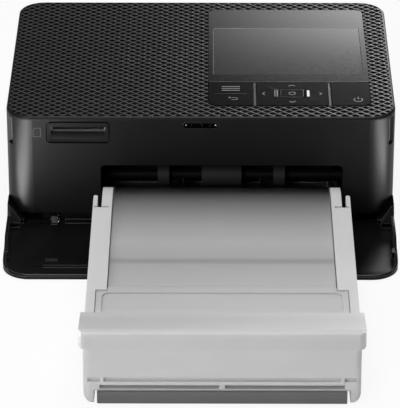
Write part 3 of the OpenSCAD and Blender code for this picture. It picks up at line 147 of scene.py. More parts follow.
def paint_shade_along_y(tree, color, shade_stops):
    """Paints shade into a colour: multiplies it by a share that changes along Y.

    Its stops are pairs of a place on the Y axis and a share, from back to front.
    """
    back, front = shade_stops[0][0], shade_stops[-1][0]
    place = ramp(tree, separate_axes(tree)["Y"], 0, 1, back * MM, front * MM)
    shares = tree.nodes.new("ShaderNodeValToRGB")
    marks = shares.color_ramp.elements
    while len(marks) < len(shade_stops):
        marks.new(0.5)
    for mark, (y, share) in zip(marks, shade_stops):
        mark.position = (y - back) / (front - back)
        mark.color = (share, share, share, 1)
    tree.links.new(place, shares.inputs["Fac"])
    return blend(tree, 1, color, shares.outputs["Color"], "MULTIPLY")


# Kinds of surface

def surface(name, color, rough, spread=0.12, grain=0.35, depth=0.02, metal=0.0, specular=0.5):
    """A moulded or painted surface: a slow change of tone, uneven gloss and a fine grain.

    Spread is how far the tone strays from the colour, grain how wide and depth how deep the
    grain is.
    """
    patch = 14
    mat, tree, shader = new_material(name)
    tone = tint(tree, noise(tree, patch, 4), scaled(color, 1 - spread), scaled(color, 1 + spread))
    tree.links.new(tone, shader.inputs["Base Color"])
    fine = noise(tree, grain, 2)
    tree.links.new(ramp(tree, fine, rough - 0.05, rough + 0.05), shader.inputs["Roughness"])
    bump(tree, shader, fine, depth)
    shader.inputs["Metallic"].default_value = metal
    shader.inputs["Specular IOR Level"].default_value = specular
    return mat


def brushed(name, color, rough, stretch=(1, 12, 12)):
    """Bright metal with fine lines along the axis that is stretched least."""
    line_grain, line_depth = 1.2, 0.01
    mat, tree, shader = new_material(name)
    lines = noise(tree, line_grain, 3, stretch)
    tree.links.new(tint(tree, lines, scaled(color, 0.85), color), shader.inputs["Base Color"])
    tree.links.new(ramp(tree, lines, rough - 0.06, rough + 0.08), shader.inputs["Roughness"])
    bump(tree, shader, lines, line_depth, 0.4)
    shader.inputs["Metallic"].default_value = 1.0
    return mat


def frosted(name, brightness, rough, through, shade_stops=None):
    """Milky see-through plastic with faint flow marks and a satin skin, with shade painted into its
    colour along Y where stops are given.
    """
    flow_grain, flow_stretch = 30, (0.5, 1, 1)
    satin_grain, satin_depth = 0.5, 0.005
    milk_depth = 2.5
    mat, tree, shader = new_material(name)
    color = (brightness, brightness, brightness)
    flow = noise(tree, flow_grain, 3, flow_stretch)
    tone = tint(tree, flow, scaled(color, 0.95), color)
    if shade_stops:
        tone = paint_shade_along_y(tree, tone, shade_stops)
    tree.links.new(tone, shader.inputs["Base Color"])
    satin = noise(tree, satin_grain, 2)
    tree.links.new(ramp(tree, satin, rough - 0.04, rough + 0.04), shader.inputs["Roughness"])
    bump(tree, shader, satin, satin_depth, 0.4)
    shader.inputs["Subsurface Weight"].default_value = 0.5
    shader.inputs["Subsurface Radius"].default_value = (1, 1, 1)
    shader.inputs["Subsurface Scale"].default_value = milk_depth * MM
    shader.inputs["Transmission Weight"].default_value = through
    shader.inputs["IOR"].default_value = 1.46
    return mat


def net_lines(top_z):
    """The net's raised lines: dark plastic, with a painted highlight that makes them a little paler
    along their crests at top_z.
    """
    dark = (0.012, 0.012, 0.012)
    crest_highlight_low = (0.036, 0.036, 0.0365)
    crest_highlight_high = (0.048, 0.048, 0.0485)
    dark_below, pale_above = 0.09 * MM, 0.01 * MM
    patch, grain, grain_depth = 20, 0.3, 0.015
    rough_low, rough_high = 0.27, 0.35
    mat, tree, shader = new_material("net_lines")
    height = ramp(tree, separate_axes(tree)["Z"], 0, 1, top_z - dark_below, top_z - pale_above)
    crest_highlight = tint(tree, noise(tree, patch, 4), crest_highlight_low, crest_highlight_high)
    tree.links.new(blend(tree, height, (*dark, 1), crest_highlight), shader.inputs["Base Color"])
    fine = noise(tree, grain, 2)
    tree.links.new(ramp(tree, fine, rough_low, rough_high), shader.inputs["Roughness"])
    shader.inputs["Specular IOR Level"].default_value = 0.5
    bump(tree, shader, fine, grain_depth)
    return mat


# The materials

top_low, top_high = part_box("top_cover")
TOP_Z = top_high.z

# Painted shade on the frosted plastic: it darkens towards the mouth, as pairs of a place on the Y
# axis and a share of its colour. They are fitted to the photo's greys and paint into the colour the
# shade of the mouth and the dark inside of the printer seen through the plastic, so they stay on it
# when the cassette slides out.
LID_PAINTED_SHADE = (
    (20, 0.02), (6, 0.06), (-3, 0.23), (-12, 0.43), (-24, 0.66), (-33, 0.80), (-48, 0.96),
    (-62, 0.88), (-65, 0.68), (-67, 0.72), (-69, 0.88), (-90, 1.0),
)
EDGE_PAINTED_SHADE = ((20, 0.55), (5, 0.7), (-10, 0.8), (-40, 0.95))
TAIL_PAINTED_SHADE = ((38, 0.04), (12, 0.12), (6, 0.8), (2, 1.0), (-146, 1.0))
# Painted shade: the outer lid's sunken panel is a little darker than its ramp and its bar
CAP_PAINTED_SHADE = ((-94, 0.80), (-112, 0.86), (-116, 1.0), (-123, 1.02), (-130, 0.92), (-146, 0.98))


def case_materials():
    """The black housing, its top, its display panel and its keys, with painted highlights on some
    edges and painted shade in the net's pits.
    """
    return {
        "case": surface("case_plastic", (0.0055, 0.0055, 0.006), rough=0.38, specular=0.22),
        "cover": surface("cover_plastic", (0.003, 0.003, 0.0032), rough=0.34, specular=0.2),
        # Painted highlight: a lighter colour on the rounded edges of the front cover, the card
        # slot's bezel and the catch pocket.
        "case_edge_highlight": surface("case_edge_painted_highlight", (0.075, 0.075, 0.077), rough=0.22),
        "knurl": net_lines(TOP_Z),
        # Painted shade: the net's pits are darker and less glossy than its lines.
        "pit_painted_shade": surface("net_pits_painted_shade", (0.0022, 0.0022, 0.0022), rough=0.6, spread=0.15, grain=0.3,
                       depth=0.01, specular=0.05),
        "panel": surface("panel_gloss", (0.004, 0.004, 0.0045), rough=0.14, spread=0.08, grain=0.5,
                         depth=0.0005, specular=0.44),
        "glass": surface("display_glass", (0.030, 0.030, 0.031), rough=0.12, spread=0.05,
                         grain=0.6, depth=0.0005, specular=0.6),
        "key": surface("key_satin", (0.006, 0.006, 0.0065), rough=0.15, spread=0.1, grain=0.4,
                       depth=0.0008, specular=0.06),
    }


def paint_materials():
    """Thin lines and signs on the panel, the keys and the front."""
    return {
        "trim": surface("trim_paint", (0.045, 0.045, 0.047), rough=0.35, spread=0.08, grain=0.4,
                        depth=0.004, metal=0.3),
        "sign": surface("sign_paint", (0.24, 0.24, 0.24), rough=0.5, spread=0.1, grain=0.3,
                        depth=0.002),
        "faint": surface("faint_paint", (0.034, 0.034, 0.035), rough=0.5, spread=0.1, grain=0.3,
                         depth=0.002),
        "rim": surface("rim_paint", (0.06, 0.06, 0.062), rough=0.35, spread=0.1, grain=0.3,
                       depth=0.002),
        # Painted reflection: the bar at the right of the select key is near white, while the like
        # bar at its left is grey.
        "painted_reflection_bar": surface("painted_reflection_bar_paint", (0.85, 0.85, 0.85), rough=0.3, spread=0.04,
                             grain=0.4, depth=0.002),
    }


def cassette_materials():
    """The frosted paper cassette with painted shade along Y and painted highlights on its edges,
    and its grey foot.
    """
    return {
        "frost": frosted("frosted_plastic", 0.74, rough=0.32, through=0.12, shade_stops=TAIL_PAINTED_SHADE),
        # Painted highlight: a lighter colour on the rounded edges of the tray and the outer lid.
        "frost_edge_highlight": frosted("frosted_edge_painted_highlight", 0.98, rough=0.22, through=0.05),
        "frost_lid": frosted("frosted_lid", 0.56, rough=0.32, through=0.12, shade_stops=LID_PAINTED_SHADE),
        "frost_cap": frosted("frosted_cap", 0.72, rough=0.32, through=0.12, shade_stops=CAP_PAINTED_SHADE),
        # Painted highlight on the inner lid's edges, with painted shade along Y like the lid.
        "lid_edge_painted_highlight": frosted("lid_edge_painted_highlight", 0.98, rough=0.22, through=0.05, shade_stops=EDGE_PAINTED_SHADE),
        "foot": surface("foot_plastic", (0.13, 0.13, 0.132), rough=0.5, spread=0.06, grain=0.4,
                        depth=0.01),
    }


def inner_materials():
    """The metal, rubber and plastic of the works inside."""
    return {
        "steel": brushed("plain_steel", (0.62, 0.63, 0.65), rough=0.32),
        "shaft": brushed("ground_steel", (0.78, 0.79, 0.80), rough=0.22),
        # Painted shade: the pickup shaft is near black for the shade inside the mouth.
        "shaft_painted_shade": surface("steel_with_painted_shade", (0.004, 0.004, 0.004), rough=0.6, spread=0.2,
                              grain=0.6, depth=0.01, specular=0.1),
        "rubber": surface("black_rubber", (0.020, 0.020, 0.020), rough=0.7, spread=0.15, grain=0.6,
                          depth=0.03),
        "roller": surface("roller_rubber", (0.020, 0.020, 0.0205), rough=0.6, grain=0.5,
                          depth=0.03, specular=0.25),
        "inner": surface("inner_plastic", (0.003, 0.003, 0.003), rough=0.55, grain=0.5,
                         specular=0.1),
        "frame": surface("key_frame_plastic", (0.03, 0.03, 0.032), rough=0.5),
        "white": surface("ink_plastic", (0.62, 0.62, 0.60), rough=0.4, spread=0.05),
        "film": surface("ink_film", (0.55, 0.45, 0.06), rough=0.25, spread=0.1, grain=2.0,
                        depth=0.004),
        "film_dark": surface("used_film", (0.16, 0.12, 0.28), rough=0.28, spread=0.2, grain=2.0,
                             depth=0.004),
        "acetal": surface("gear_acetal", (0.72, 0.72, 0.69), rough=0.38, spread=0.04),
        "brass": surface("plain_brass", (0.72, 0.52, 0.24), rough=0.3, spread=0.08, grain=0.4,
                         depth=0.004, metal=1.0),
        "board": surface("circuit_board", (0.02, 0.14, 0.06), rough=0.4, spread=0.2, grain=1.2,
                         depth=0.01),
        "membrane": surface("silicone_sheet", (0.32, 0.33, 0.31), rough=0.55, spread=0.06),
        "motor": brushed("motor_can", (0.5, 0.51, 0.53), rough=0.35, stretch=(12, 12, 1)),
    }


LOOKS = {**case_materials(), **paint_materials(), **cassette_materials(), **inner_materials()}

NODE_LOOK = {
    "case": "case_shell base_pan ink_door card_slot_bezel catch_pocket top_cover",
    "cover": "front_cover",
    "panel": "panel_bezel",
    "glass": "display_lens",
    "key": "menu_key nav_key ok_key power_key",
    "trim": "key_dividers",
    "steel": "card_reader left_chassis right_chassis chassis_ties motor_bracket head_arm "
             "usb_port lift_plate lcd_module print_head case_screws",
    "shaft": "menu_pin cover_hinge_pins ink_door_pin head_rod gear_posts capstan",
    "shaft_painted_shade": "pickup_shaft",
    "rubber": "rubber_feet pinch_roller platen_roller",
    "roller": "pickup_rollers",
    "inner": "mouth_duct paper_guide dc_jack",
    "frame": "key_frame nav_pivot",
    "frost": "cassette_tray outer_lid",
    "frost_lid": "inner_lid",
    "foot": "foot_bar",
    "white": "ink_shell eject_lever",
    "film": "ribbon_film supply_spool",
    "film_dark": "takeup_spool",
    "acetal": "pickup_idler platen_idler ribbon_idler",
    "brass": "motor_pinion shaft_bushes",
    "board": "main_board",
    "membrane": "key_membrane",
    "motor": "feed_motor",
}
for look, names in NODE_LOOK.items():
    for name in names.split():
        nodes[name].data.materials.clear()
        nodes[name].data.materials.append(LOOKS[look])


# Pieces that stand for CAD nodes

# The angle in degrees below which an edge of a CAD part is shaded smooth
PART_SMOOTH = 35


def piece(name, mesh, body, material):
    """A new object that rides on a body and takes its finish from a slot."""
    obj = bpy.data.objects.new(name, mesh)
    bpy.context.scene.collection.objects.link(obj)
    mesh.materials.append(material)
    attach(obj, body)
    return obj


def node_mesh(node):
    """The CAD node's mesh with its doubled points joined and its flat faces whole again."""
    same_point = 0.002 * MM
    flat_angle = math.radians(0.5)
    bm = bmesh.new()
    bm.from_mesh(nodes[node].data)
    bmesh.ops.remove_doubles(bm, verts=bm.verts, dist=same_point)
    bmesh.ops.dissolve_limit(bm, angle_limit=flat_angle, verts=bm.verts, edges=bm.edges)
    return bm


def to_mesh(bm, name, smooth_angle=None):
    """Ends the building of a mesh. Edges below smooth_angle degrees are shaded smooth."""
    mesh = bpy.data.meshes.new(name)
    bm.to_mesh(mesh)
    bm.free()
    if smooth_angle:
        mesh.shade_smooth()
        mesh.set_sharp_from_angle(angle=math.radians(smooth_angle))
    return mesh


def narrow(bm, node, slim):
    """Draws a mesh in by slim on each side, across and from front to back."""
    low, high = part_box(node)
    mid = (low + high) / 2
    for v in bm.verts:
        for axis in (0, 1):
            share = (v.co[axis] - mid[axis]) / (high[axis] - mid[axis])
            v.co[axis] -= share * slim * MM


def softened(node, body, look, width, edge_highlight_look=None, slim=0.0):
    """A copy of a CAD node in its place, with rounded edges that can carry a painted highlight in a
    lighter colour of their own.
    """
    sharp_corner = 32
    round_steps = 2
    bm = node_mesh(node)
    if slim:
        narrow(bm, node, slim)
    mesh = to_mesh(bm, node + "_soft", smooth_angle=PART_SMOOTH)
    obj = piece(node + "_soft", mesh, body, LOOKS[look])
    mod = obj.modifiers.new("edges", "BEVEL")
    mod.width = width * MM
    mod.segments = round_steps
    mod.limit_method = "ANGLE"
    mod.angle_limit = math.radians(sharp_corner)
    mod.use_clamp_overlap = True
    mod.harden_normals = True
    if edge_highlight_look:
        mesh.materials.append(LOOKS[edge_highlight_look])
        mod.material = 1
    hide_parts(node)


# In the CAD two keys just touch the cover at the end of their travel. They are drawn a little
# narrower here, which doesn't mend that.
KEY_SLIM = 0.05

# The edge looks paint a highlight along the rounded edges.
softened("outer_lid", "outer_lid", "frost_cap", width=0.5, edge_highlight_look="frost_edge_highlight")
softened("inner_lid", "cassette", "frost_lid", width=0.4, edge_highlight_look="lid_edge_painted_highlight")
softened("cassette_tray", "cassette", "frost", width=0.42, edge_highlight_look="frost_edge_highlight")
softened("foot_bar", "cassette", "foot", width=0.4)
softened("front_cover", "front_cover", "cover", width=0.3, edge_highlight_look="case_edge_highlight")
softened("card_slot_bezel", "housing", "case", width=0.25, edge_highlight_look="case_edge_highlight")
softened("catch_pocket", "housing", "case", width=0.2, edge_highlight_look="case_edge_highlight")
softened("menu_key", "menu_key", "key", width=0.15, slim=KEY_SLIM)
softened("power_key", "power_key", "key", width=0.15, slim=KEY_SLIM)
softened("nav_key", "nav_key", "key", width=0.12)
softened("ok_key", "ok_key", "key", width=0.2)
softened("panel_bezel", "housing", "panel", width=0.12)
softened("ink_door", "ink_door", "case", width=0.2)


# The top with its moulded net

# One diamond of the net: how wide it is and how far it goes from front to back
NET_X = 5.15
NET_Y = 4.3
# Rings of a diamond from its rim inwards, each a share of its size and a depth
NET_RINGS = ((1.0, 0.0), (0.76, 0.065), (0.6, 0.26), (0.4, 0.38))
NET_CENTRE_DEPTH = 0.42
# How much the sides of a ring bulge as it gets smaller
NET_BULGE = 0.09
# How far the net's cut edges reach down
NET_WALL = 0.6
# The cover's rounded edge that the net leaves bare, and the cover's corner
NET_MARGIN = 1.2
TOP_CORNER = 12.5
# The hole for the panel and the keys: its corner, its gap to the panel and its gap to the keys
HOLE_CORNER = 4
HOLE_GAP = 0.12
KEY_GAP = 0.3
# More than half a diamond, for finding those near a line
NET_REACH = 3
CUT_REACH = 3.2


def rounded_outline(x0, y0, x1, y1, r, steps=10):
    """Points of a rounded rectangle, anticlockwise."""
    corners = (
        (x1 - r, y0 + r, -90),
        (x1 - r, y1 - r, 0),
        (x0 + r, y1 - r, 90),
        (x0 + r, y0 + r, 180),
    )
    points = []
    for cx, cy, turn in corners:
        for i in range(steps + 1):
            a = math.radians(turn + 90 * i / steps)
            points.append(Vector((cx + r * math.cos(a), cy + r * math.sin(a))))
    return points


def sides(outline):
    """Pairs of points that follow each other round a closed outline."""
    return zip(outline, outline[1:] + outline[:1])


def inside(p, outline):
    """True if a point is inside a convex anticlockwise outline."""
    for a, b in sides(outline):
        if (b.x - a.x) * (p.y - a.y) - (b.y - a.y) * (p.x - a.x) < 0:
            return False
    return True


def cut_net(bm, outline, keep_inside):
    """Cuts the net along an outline and drops the faces on the other side of it."""
    for a, b in sides(outline):
        if (b - a).length < 1e-7:
            continue
        pad = CUT_REACH * MM
        low = Vector((min(a.x, b.x) - pad, min(a.y, b.y) - pad))
        high = Vector((max(a.x, b.x) + pad, max(a.y, b.y) + pad))
        near = []
        for face in bm.faces:
            corner = face.verts[0].co
            if low.x < corner.x < high.x and low.y < corner.y < high.y:
                near.append(face)
        geom = set(near)
        geom |= {e for f in near for e in f.edges}
        geom |= {v for f in near for v in f.verts}
        side = Vector((b.y - a.y, a.x - b.x, 0)).normalized()
        bmesh.ops.bisect_plane(bm, geom=list(geom), plane_co=(a.x, a.y, 0), plane_no=side,
                               dist=1e-6)
    gone = [f for f in bm.faces if inside(f.calc_center_median(), outline) != keep_inside]
    bmesh.ops.delete(bm, geom=gone, context="FACES")


def diamond_point(k, share):
    """One of eight points round a diamond of unit size: a corner, or the middle of a side.

    The sides of a smaller ring bulge a little.
    """
    a = math.radians(45 * k)
    if k % 2 == 0:
        return math.cos(a), math.sin(a)
    push = 0.5 + NET_BULGE * (1 - share)
    return math.copysign(push, math.cos(a)), math.copysign(push, math.sin(a))


def net_cell(bm, cx, cy, find):
    """One diamond of the net: a rim with the first material, and a hollow with the second, which
    paints shade into it.
    """
    made = []
    for share, depth in NET_RINGS:
        ring = []
        for k in range(8):
            x, y = diamond_point(k, share)
            px = cx + x * share * NET_X / 2 * MM
            py = cy + y * share * NET_Y / 2 * MM
            ring.append(find(px, py, TOP_Z - depth * MM))
        made.append(ring)
    for level, (outer, inner) in enumerate(zip(made, made[1:])):
        for k in range(8):
            n = (k + 1) % 8
            face = bm.faces.new((outer[k], outer[n], inner[n], inner[k]))
            face.material_index = min(level, 1)
    centre = find(cx, cy, TOP_Z - NET_CENTRE_DEPTH * MM)
    for k in range(8):
        face = bm.faces.new((made[-1][k], made[-1][(k + 1) % 8], centre))
        face.material_index = 1


def lay_net(bm, hole):
    """Diamonds all over the top, apart from those that are wholly inside the hole."""
    known = {}

    def find(x, y, z):
        """The point at a place, to a thousandth of a millimetre, that neighbours share."""
        key = (round(x * 1e6), round(y * 1e6), round(z * 1e6))
        if key not in known:
            known[key] = bm.verts.new((x, y, z))
        return known[key]

    reach = NET_REACH * MM
    ends = (-reach, reach)
    mid = (top_low + top_high) / 2
    across = int((top_high.x - top_low.x) / 2 / (NET_X * MM)) + 2
    back = int((top_high.y - top_low.y) / 2 / (NET_Y * MM)) + 2
    for i in range(-2 * across, 2 * across + 1):
        for j in range(-2 * back, 2 * back + 1):
            if (i + j) % 2:
                continue
            cx = mid.x + i * NET_X / 2 * MM
            cy = mid.y + j * NET_Y / 2 * MM
            if not top_low.x - reach < cx < top_high.x + reach:
                continue
            if not top_low.y - reach < cy < top_high.y + reach:
                continue
            if all(inside(Vector((cx + dx, cy + dy)), hole) for dx in ends for dy in ends):
                continue
            net_cell(bm, cx, cy, find)


def wall_in(bm):
    """A small wall along every cut edge, so that the net has no open rim."""
    rim = [e for e in bm.edges if e.is_boundary]
    walls = bmesh.ops.extrude_edge_only(bm, edges=rim)
    for v in (g for g in walls["geom"] if isinstance(g, bmesh.types.BMVert)):
        v.co.z = TOP_Z - NET_WALL * MM


def textured_top():
    """The cover's top as a moulded net, with a hole for the panel and the keys."""
    margin = NET_MARGIN * MM
    gap = HOLE_GAP * MM
    panel_low, panel_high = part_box("panel_bezel")
    keys_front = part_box("menu_key")[0].y
    outer = rounded_outline(top_low.x + margin, top_low.y + margin, top_high.x - margin,
                            top_high.y - margin, TOP_CORNER * MM - margin)
    hole = rounded_outline(panel_low.x - gap, keys_front - KEY_GAP * MM, panel_high.x + gap,
                           panel_high.y + gap, HOLE_CORNER * MM)
    bm = bmesh.new()
    lay_net(bm, hole)
    cut_net(bm, outer, True)
    cut_net(bm, hole, False)
    wall_in(bm)
    bmesh.ops.recalc_face_normals(bm, faces=bm.faces)
    mesh = to_mesh(bm, "top_net", smooth_angle=60)
    net = piece("top_net", mesh, "housing", LOOKS["knurl"])
    net.data.materials.append(LOOKS["pit_painted_shade"])
    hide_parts("top_cover")


def cover_shell():
    """The rest of the cover: the CAD node's own skin without its flat top."""
    shell = node_mesh("top_cover")
    flat = [f for f in shell.faces if all(v.co.z > TOP_Z - 1e-6 for v in f.verts)]
    bmesh.ops.delete(shell, geom=flat, context="FACES")
    mesh = to_mesh(shell, "top_shell", smooth_angle=PART_SMOOTH)
    rest = piece("top_shell", mesh, "housing", LOOKS["case"])
    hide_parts("top_cover")


textured_top()
cover_shell()


# Thin raised lines for signs

def stroke_ribs(bm, pts, closed, width, proud, place):
    """Four points across the line at each of its points, mitred where it turns."""
    sunk = -0.05
    count = len(pts)
    ribs = []
    for i, p in enumerate(pts):
        before = pts[i - 1] if i or closed else None
        after = pts[(i + 1) % count] if i < count - 1 or closed else None
        d1 = (p - before).normalized() if before is not None else (after - p).normalized()
        d2 = (after - p).normalized() if after is not None else d1
        side = Vector((-(d1 + d2).y, (d1 + d2).x)).normalized()
        half = width / 2 / max(0.5, side.dot(Vector((-d1.y, d1.x))))
        rib = []
        for turn, lift in ((-1, sunk), (-1, proud), (1, proud), (1, sunk)):
            rib.append(bm.verts.new(place(p + side * turn * half, lift)))
        ribs.append(rib)
    return ribs


def strokes(name, lines, origin, up, body, width, look="sign", proud=0.02):
    """Thin raised lines on a flat face. Their points are across and along up from origin."""
    across = Vector((1, 0, 0))
    normal = across.cross(up).normalized()

    def place(point, lift):
        """Where a point of the drawing is in the frame."""
        return origin + (across * point.x + up * point.y + normal * lift) * MM

    bm = bmesh.new()
    for line in lines:
        closed = line[0] == line[-1] and len(line) > 2
        pts = [Vector(p) for p in (line[:-1] if closed else line)]
        ribs = stroke_ribs(bm, pts, closed, width, proud, place)
        pairs = list(zip(ribs, ribs[1:]))
        if closed:
            pairs.append((ribs[-1], ribs[0]))
        for a, b in pairs:
            for k in range(3):
                bm.faces.new((a[k], a[k + 1], b[k + 1], b[k]))
        if not closed:
            bm.faces.new(ribs[0])
            bm.faces.new(ribs[-1][::-1])
    bmesh.ops.recalc_face_normals(bm, faces=bm.faces)
    piece(name, to_mesh(bm, name), body, LOOKS[look])


def arc(cx, cy, r, a0, a1, steps=14):
    """Points along an arc from one angle to another, in degrees."""
    points = []
    for i in range(steps + 1):
        a = math.radians(a0 + (a1 - a0) * i / steps)
        points.append((cx + r * math.cos(a), cy + r * math.sin(a)))
    return points


def top_mid(node):
    """The middle of a node's top."""
    low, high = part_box(node)
    return Vector(((low.x + high.x) / 2, (low.y + high.y) / 2, high.z))


# Signs on the keys

def menu_signs():
    """Three bars for the menu and a turned arrow for back, with a rule between them."""
    bar_half, bar_y, bar_pitch = 4.3, 5.7, 2.1
    rule_half = 7.6
    bend, stem_y, foot_y = 2.0, -4.4, -6.6
    tip_x, barb_x, barb = -1.2, -0.3, 0.7
    menu = top_mid("menu_key")
    rows = []
    for k in (-1, 0, 1):
        y = bar_y + k * bar_pitch
        rows.append([(-bar_half, y), (bar_half, y)])
    strokes("menu_sign", rows, menu, BACKWARD, "menu_key", width=0.6)
    rule = [(-rule_half, 0), (rule_half, 0)]
    strokes("menu_rule", [rule], menu, BACKWARD, "menu_key", width=0.25, look="trim")
    radius = (stem_y - foot_y) / 2
    turn = arc(bend, stem_y - radius, radius, 90, -90)[1:]
    stem = [(tip_x, stem_y), (bend, stem_y)] + turn + [(0.2, foot_y)]
    head = [(barb_x, stem_y + barb), (tip_x, stem_y), (barb_x, stem_y - barb)]
    strokes("back_sign", [stem, head], menu, BACKWARD, "menu_key", width=0.32)


def arrow_signs():
    """A small open arrow at each side of the four-way key."""
    side_x, side_y = 13.4, 8.9
    half_wide, half_deep = 1.45, 0.55
    nav = top_mid("nav_key")
    nav.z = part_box("menu_key")[1].z
    chevrons = []
    for dx, dy in ((0, 1), (0, -1), (-1, 0), (1, 0)):
        centre = Vector((dx * side_x, dy * side_y))
        ahead = Vector((dx, dy)) * half_deep
        side = Vector((-dy, dx)) * half_wide
        base = centre - ahead
        chevrons.append([tuple(base + side), tuple(centre + ahead), tuple(base - side)])
    strokes("arrow_signs", chevrons, nav, BACKWARD, "nav_key", width=0.4)


def select_signs():
    """A ring and a thin outline on the select key, and a bar at each side of it."""
    ring_radius = 1.5
    bar_x, bar_half, bar_drop = 7.55, 3.4, -0.1
    twin_half = 0.65
    inset = 0.3
    ok = top_mid("ok_key")
    ring = arc(0, 0, ring_radius, 0, 360, 24)
    ring[-1] = ring[0]
    strokes("select_sign", [ring], ok, BACKWARD, "ok_key", width=0.4)
    right = ok + Vector((bar_x, 0, bar_drop)) * MM
    left = ok + Vector((-bar_x, 0, bar_drop)) * MM
    bar = [(0, -bar_half), (0, bar_half)]
    # Painted reflection: the right bar is near white, the left one grey.
    strokes("white_bar", [bar], right, BACKWARD, "nav_key", width=1.2, look="painted_reflection_bar", proud=0.12)
    twin = [[(x, -bar_half), (x, bar_half)] for x in (-twin_half, twin_half)]
    strokes("grey_bar", twin, left, BACKWARD, "nav_key", width=0.35, proud=0.12)
    low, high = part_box("ok_key")
    half_x = (high.x - low.x) / 2 / MM - inset
    half_y = (high.y - low.y) / 2 / MM - inset
    rim = [tuple(p) for p in rounded_outline(-half_x, -half_y, half_x, half_y, 1.0, 4)]
    strokes("select_rim", [rim + rim[:1]], ok, BACKWARD, "ok_key", width=0.2, look="rim")


def power_sign():
    """An open ring with a short line in its gap, near the key's front corner."""
    right, forward = 3.4, 6.4
    radius, ring_from, ring_to = 2.0, 130, 410
    power = top_mid("power_key") + Vector((right, -forward, 0)) * MM
    lines = [arc(0, 0, radius, ring_from, ring_to), [(0, 0.6), (0, 2.9)]]
    strokes("power_sign", lines, power, BACKWARD, "power_key", width=0.42)


menu_signs()
arrow_signs()
select_signs()
power_sign()


# Fine lines and small things on the housing

def display_lines():
    """Fine lines along the display's upper edge and along the panel's lower edge."""
    panel_inset = 0.4
    panel_up = 0.25
    low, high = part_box("display_lens")
    panel_low, panel_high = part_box("panel_bezel")
    face = max(high.z, panel_high.z)
    mid = Vector(((low.x + high.x) / 2, 0, face))
    half = (high.x - low.x) / 2 / MM
    line = [(-half, high.y / MM), (half, high.y / MM)]
    strokes("display_line", [line], mid, BACKWARD, "housing", width=0.5, proud=0.03)
    mid = Vector(((panel_low.x + panel_high.x) / 2, 0, face))
    half = (panel_high.x - panel_low.x) / 2 / MM - panel_inset
    y = panel_low.y / MM + panel_up
    line = [(-half, y), (half, y)]
    strokes("panel_line", [line], mid, BACKWARD, "housing", width=0.25, look="rim")


def card_sign():
    """A plain outline of a memory card on the front wall, beside the slot."""
    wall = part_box("case_shell")[0].y
    centre = Vector((-76.4 * MM, wall, 49.6 * MM))
    half_w, half_h, cut = 1.7, 2.2, 0.9
    outline = [
        (-half_w, -half_h),
        (half_w, -half_h),
        (half_w, half_h),
        (-half_w + cut, half_h),
        (-half_w, half_h - cut),
        (-half_w, -half_h),
    ]
    strokes("card_sign", [outline], centre, UPWARD, "housing", width=0.35, look="faint")


def catch_pins():
    """Two small turned pins inside the catch pocket, whose heads glint."""
    pin_places = (-6.8, 7.1)
    behind_front = 0.6
    head = ((0.0, 0.0), (0.32, 0.06), (0.5, 0.3), (0.5, 0.6))
    stem = ((0.3, 0.75), (0.3, 4.4), (0.0, 4.4))
    turns = 16
    low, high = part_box("catch_pocket")
    bm = bmesh.new()
    for x in pin_places:
        centre = Vector((x * MM, low.y + behind_front * MM, (low.z + high.z) / 2))
        rings = []
        for r, depth in head + stem:
            at = centre + BACKWARD * depth * MM
            if r == 0:
                rings.append([bm.verts.new(at)] * turns)
                continue
            ring = []
            for k in range(turns):
                a = 2 * math.pi * k / turns
                ring.append(bm.verts.new(at + Vector((math.cos(a), 0, math.sin(a))) * r * MM))
            rings.append(ring)
        for near, far in zip(rings, rings[1:]):
            for k in range(turns):
                n = (k + 1) % turns
                corners = list(dict.fromkeys((near[k], near[n], far[n], far[k])))
                bm.faces.new(corners)
    bmesh.ops.recalc_face_normals(bm, faces=bm.faces)
    mesh = to_mesh(bm, "catch_pins", smooth_angle=50)
    piece("catch_pins", mesh, "housing", LOOKS["steel"])


display_lines()
card_sign()
catch_pins()


# Stage, lights and camera, with lengths in metres

FLOOR_HALF = 3.0
FLOOR_COLOR = 0.86
# The share of plain white in what the camera sees of the floor
FLOOR_WHITE = 0.88
ROOM_LIGHT = 0.14


def white_for_camera(tree, factor, plain, white, output):
    """Mixes a white shader in by factor, which is zero for all but what the camera sees."""
    mix = tree.nodes.new("ShaderNodeMixShader")
    tree.links.new(factor, mix.inputs["Fac"])
    tree.links.new(plain.outputs[0], mix.inputs[1])
    tree.links.new(white.outputs[0], mix.inputs[2])
    tree.links.new(mix.outputs[0], tree.nodes[output].inputs["Surface"])


def camera_ray(tree):
    """One for what the camera sees, zero for all other rays."""
    return tree.nodes.new("ShaderNodeLightPath").outputs["Is Camera Ray"]


def flat_stage(name, corners, material):
    """A single flat sheet of the stage."""
    mesh = bpy.data.meshes.new(name)
    mesh.from_pydata(corners, [], [(0, 1, 2, 3)])
    mesh.materials.append(material)
    obj = bpy.data.objects.new(name, mesh)
    bpy.context.scene.collection.objects.link(obj)
    return obj


def floor():
    """A plain pale floor that the camera sees as nearly white."""
    mat, tree, shader = new_material("pale_floor")
    shader.inputs["Base Color"].default_value = (FLOOR_COLOR, FLOOR_COLOR, FLOOR_COLOR, 1)
    shader.inputs["Roughness"].default_value = 0.9
    shader.inputs["Specular IOR Level"].default_value = 0.0
    glow = tree.nodes.new("ShaderNodeEmission")
    glow.inputs["Strength"].default_value = 1.0
    factor = product(tree, camera_ray(tree), FLOOR_WHITE)
    white_for_camera(tree, factor, shader, glow, "Material Output")
    half = FLOOR_HALF
    corners = [(-half, -half, 0), (half, -half, 0), (half, half, 0), (-half, half, 0)]
    flat_stage("floor", corners, mat)


def soft_light(name, at, aim, width, height, radiance, mirrored_only=False):
    """A rectangle of light with a given brightness of face. It can be one that only gloss shows."""
    data = bpy.data.lights.new(name, "AREA")
    data.shape = "RECTANGLE"
    data.size = width
    data.size_y = height
    data.energy = radiance * math.pi * width * height
    obj = bpy.data.objects.new(name, data)
    bpy.context.scene.collection.objects.link(obj)
    obj.location = at
    obj.rotation_euler = (Vector(aim) - Vector(at)).to_track_quat("-Z", "Y").to_euler()
    obj.visible_camera = False
    obj.visible_diffuse = not mirrored_only
    obj.visible_transmission = not mirrored_only


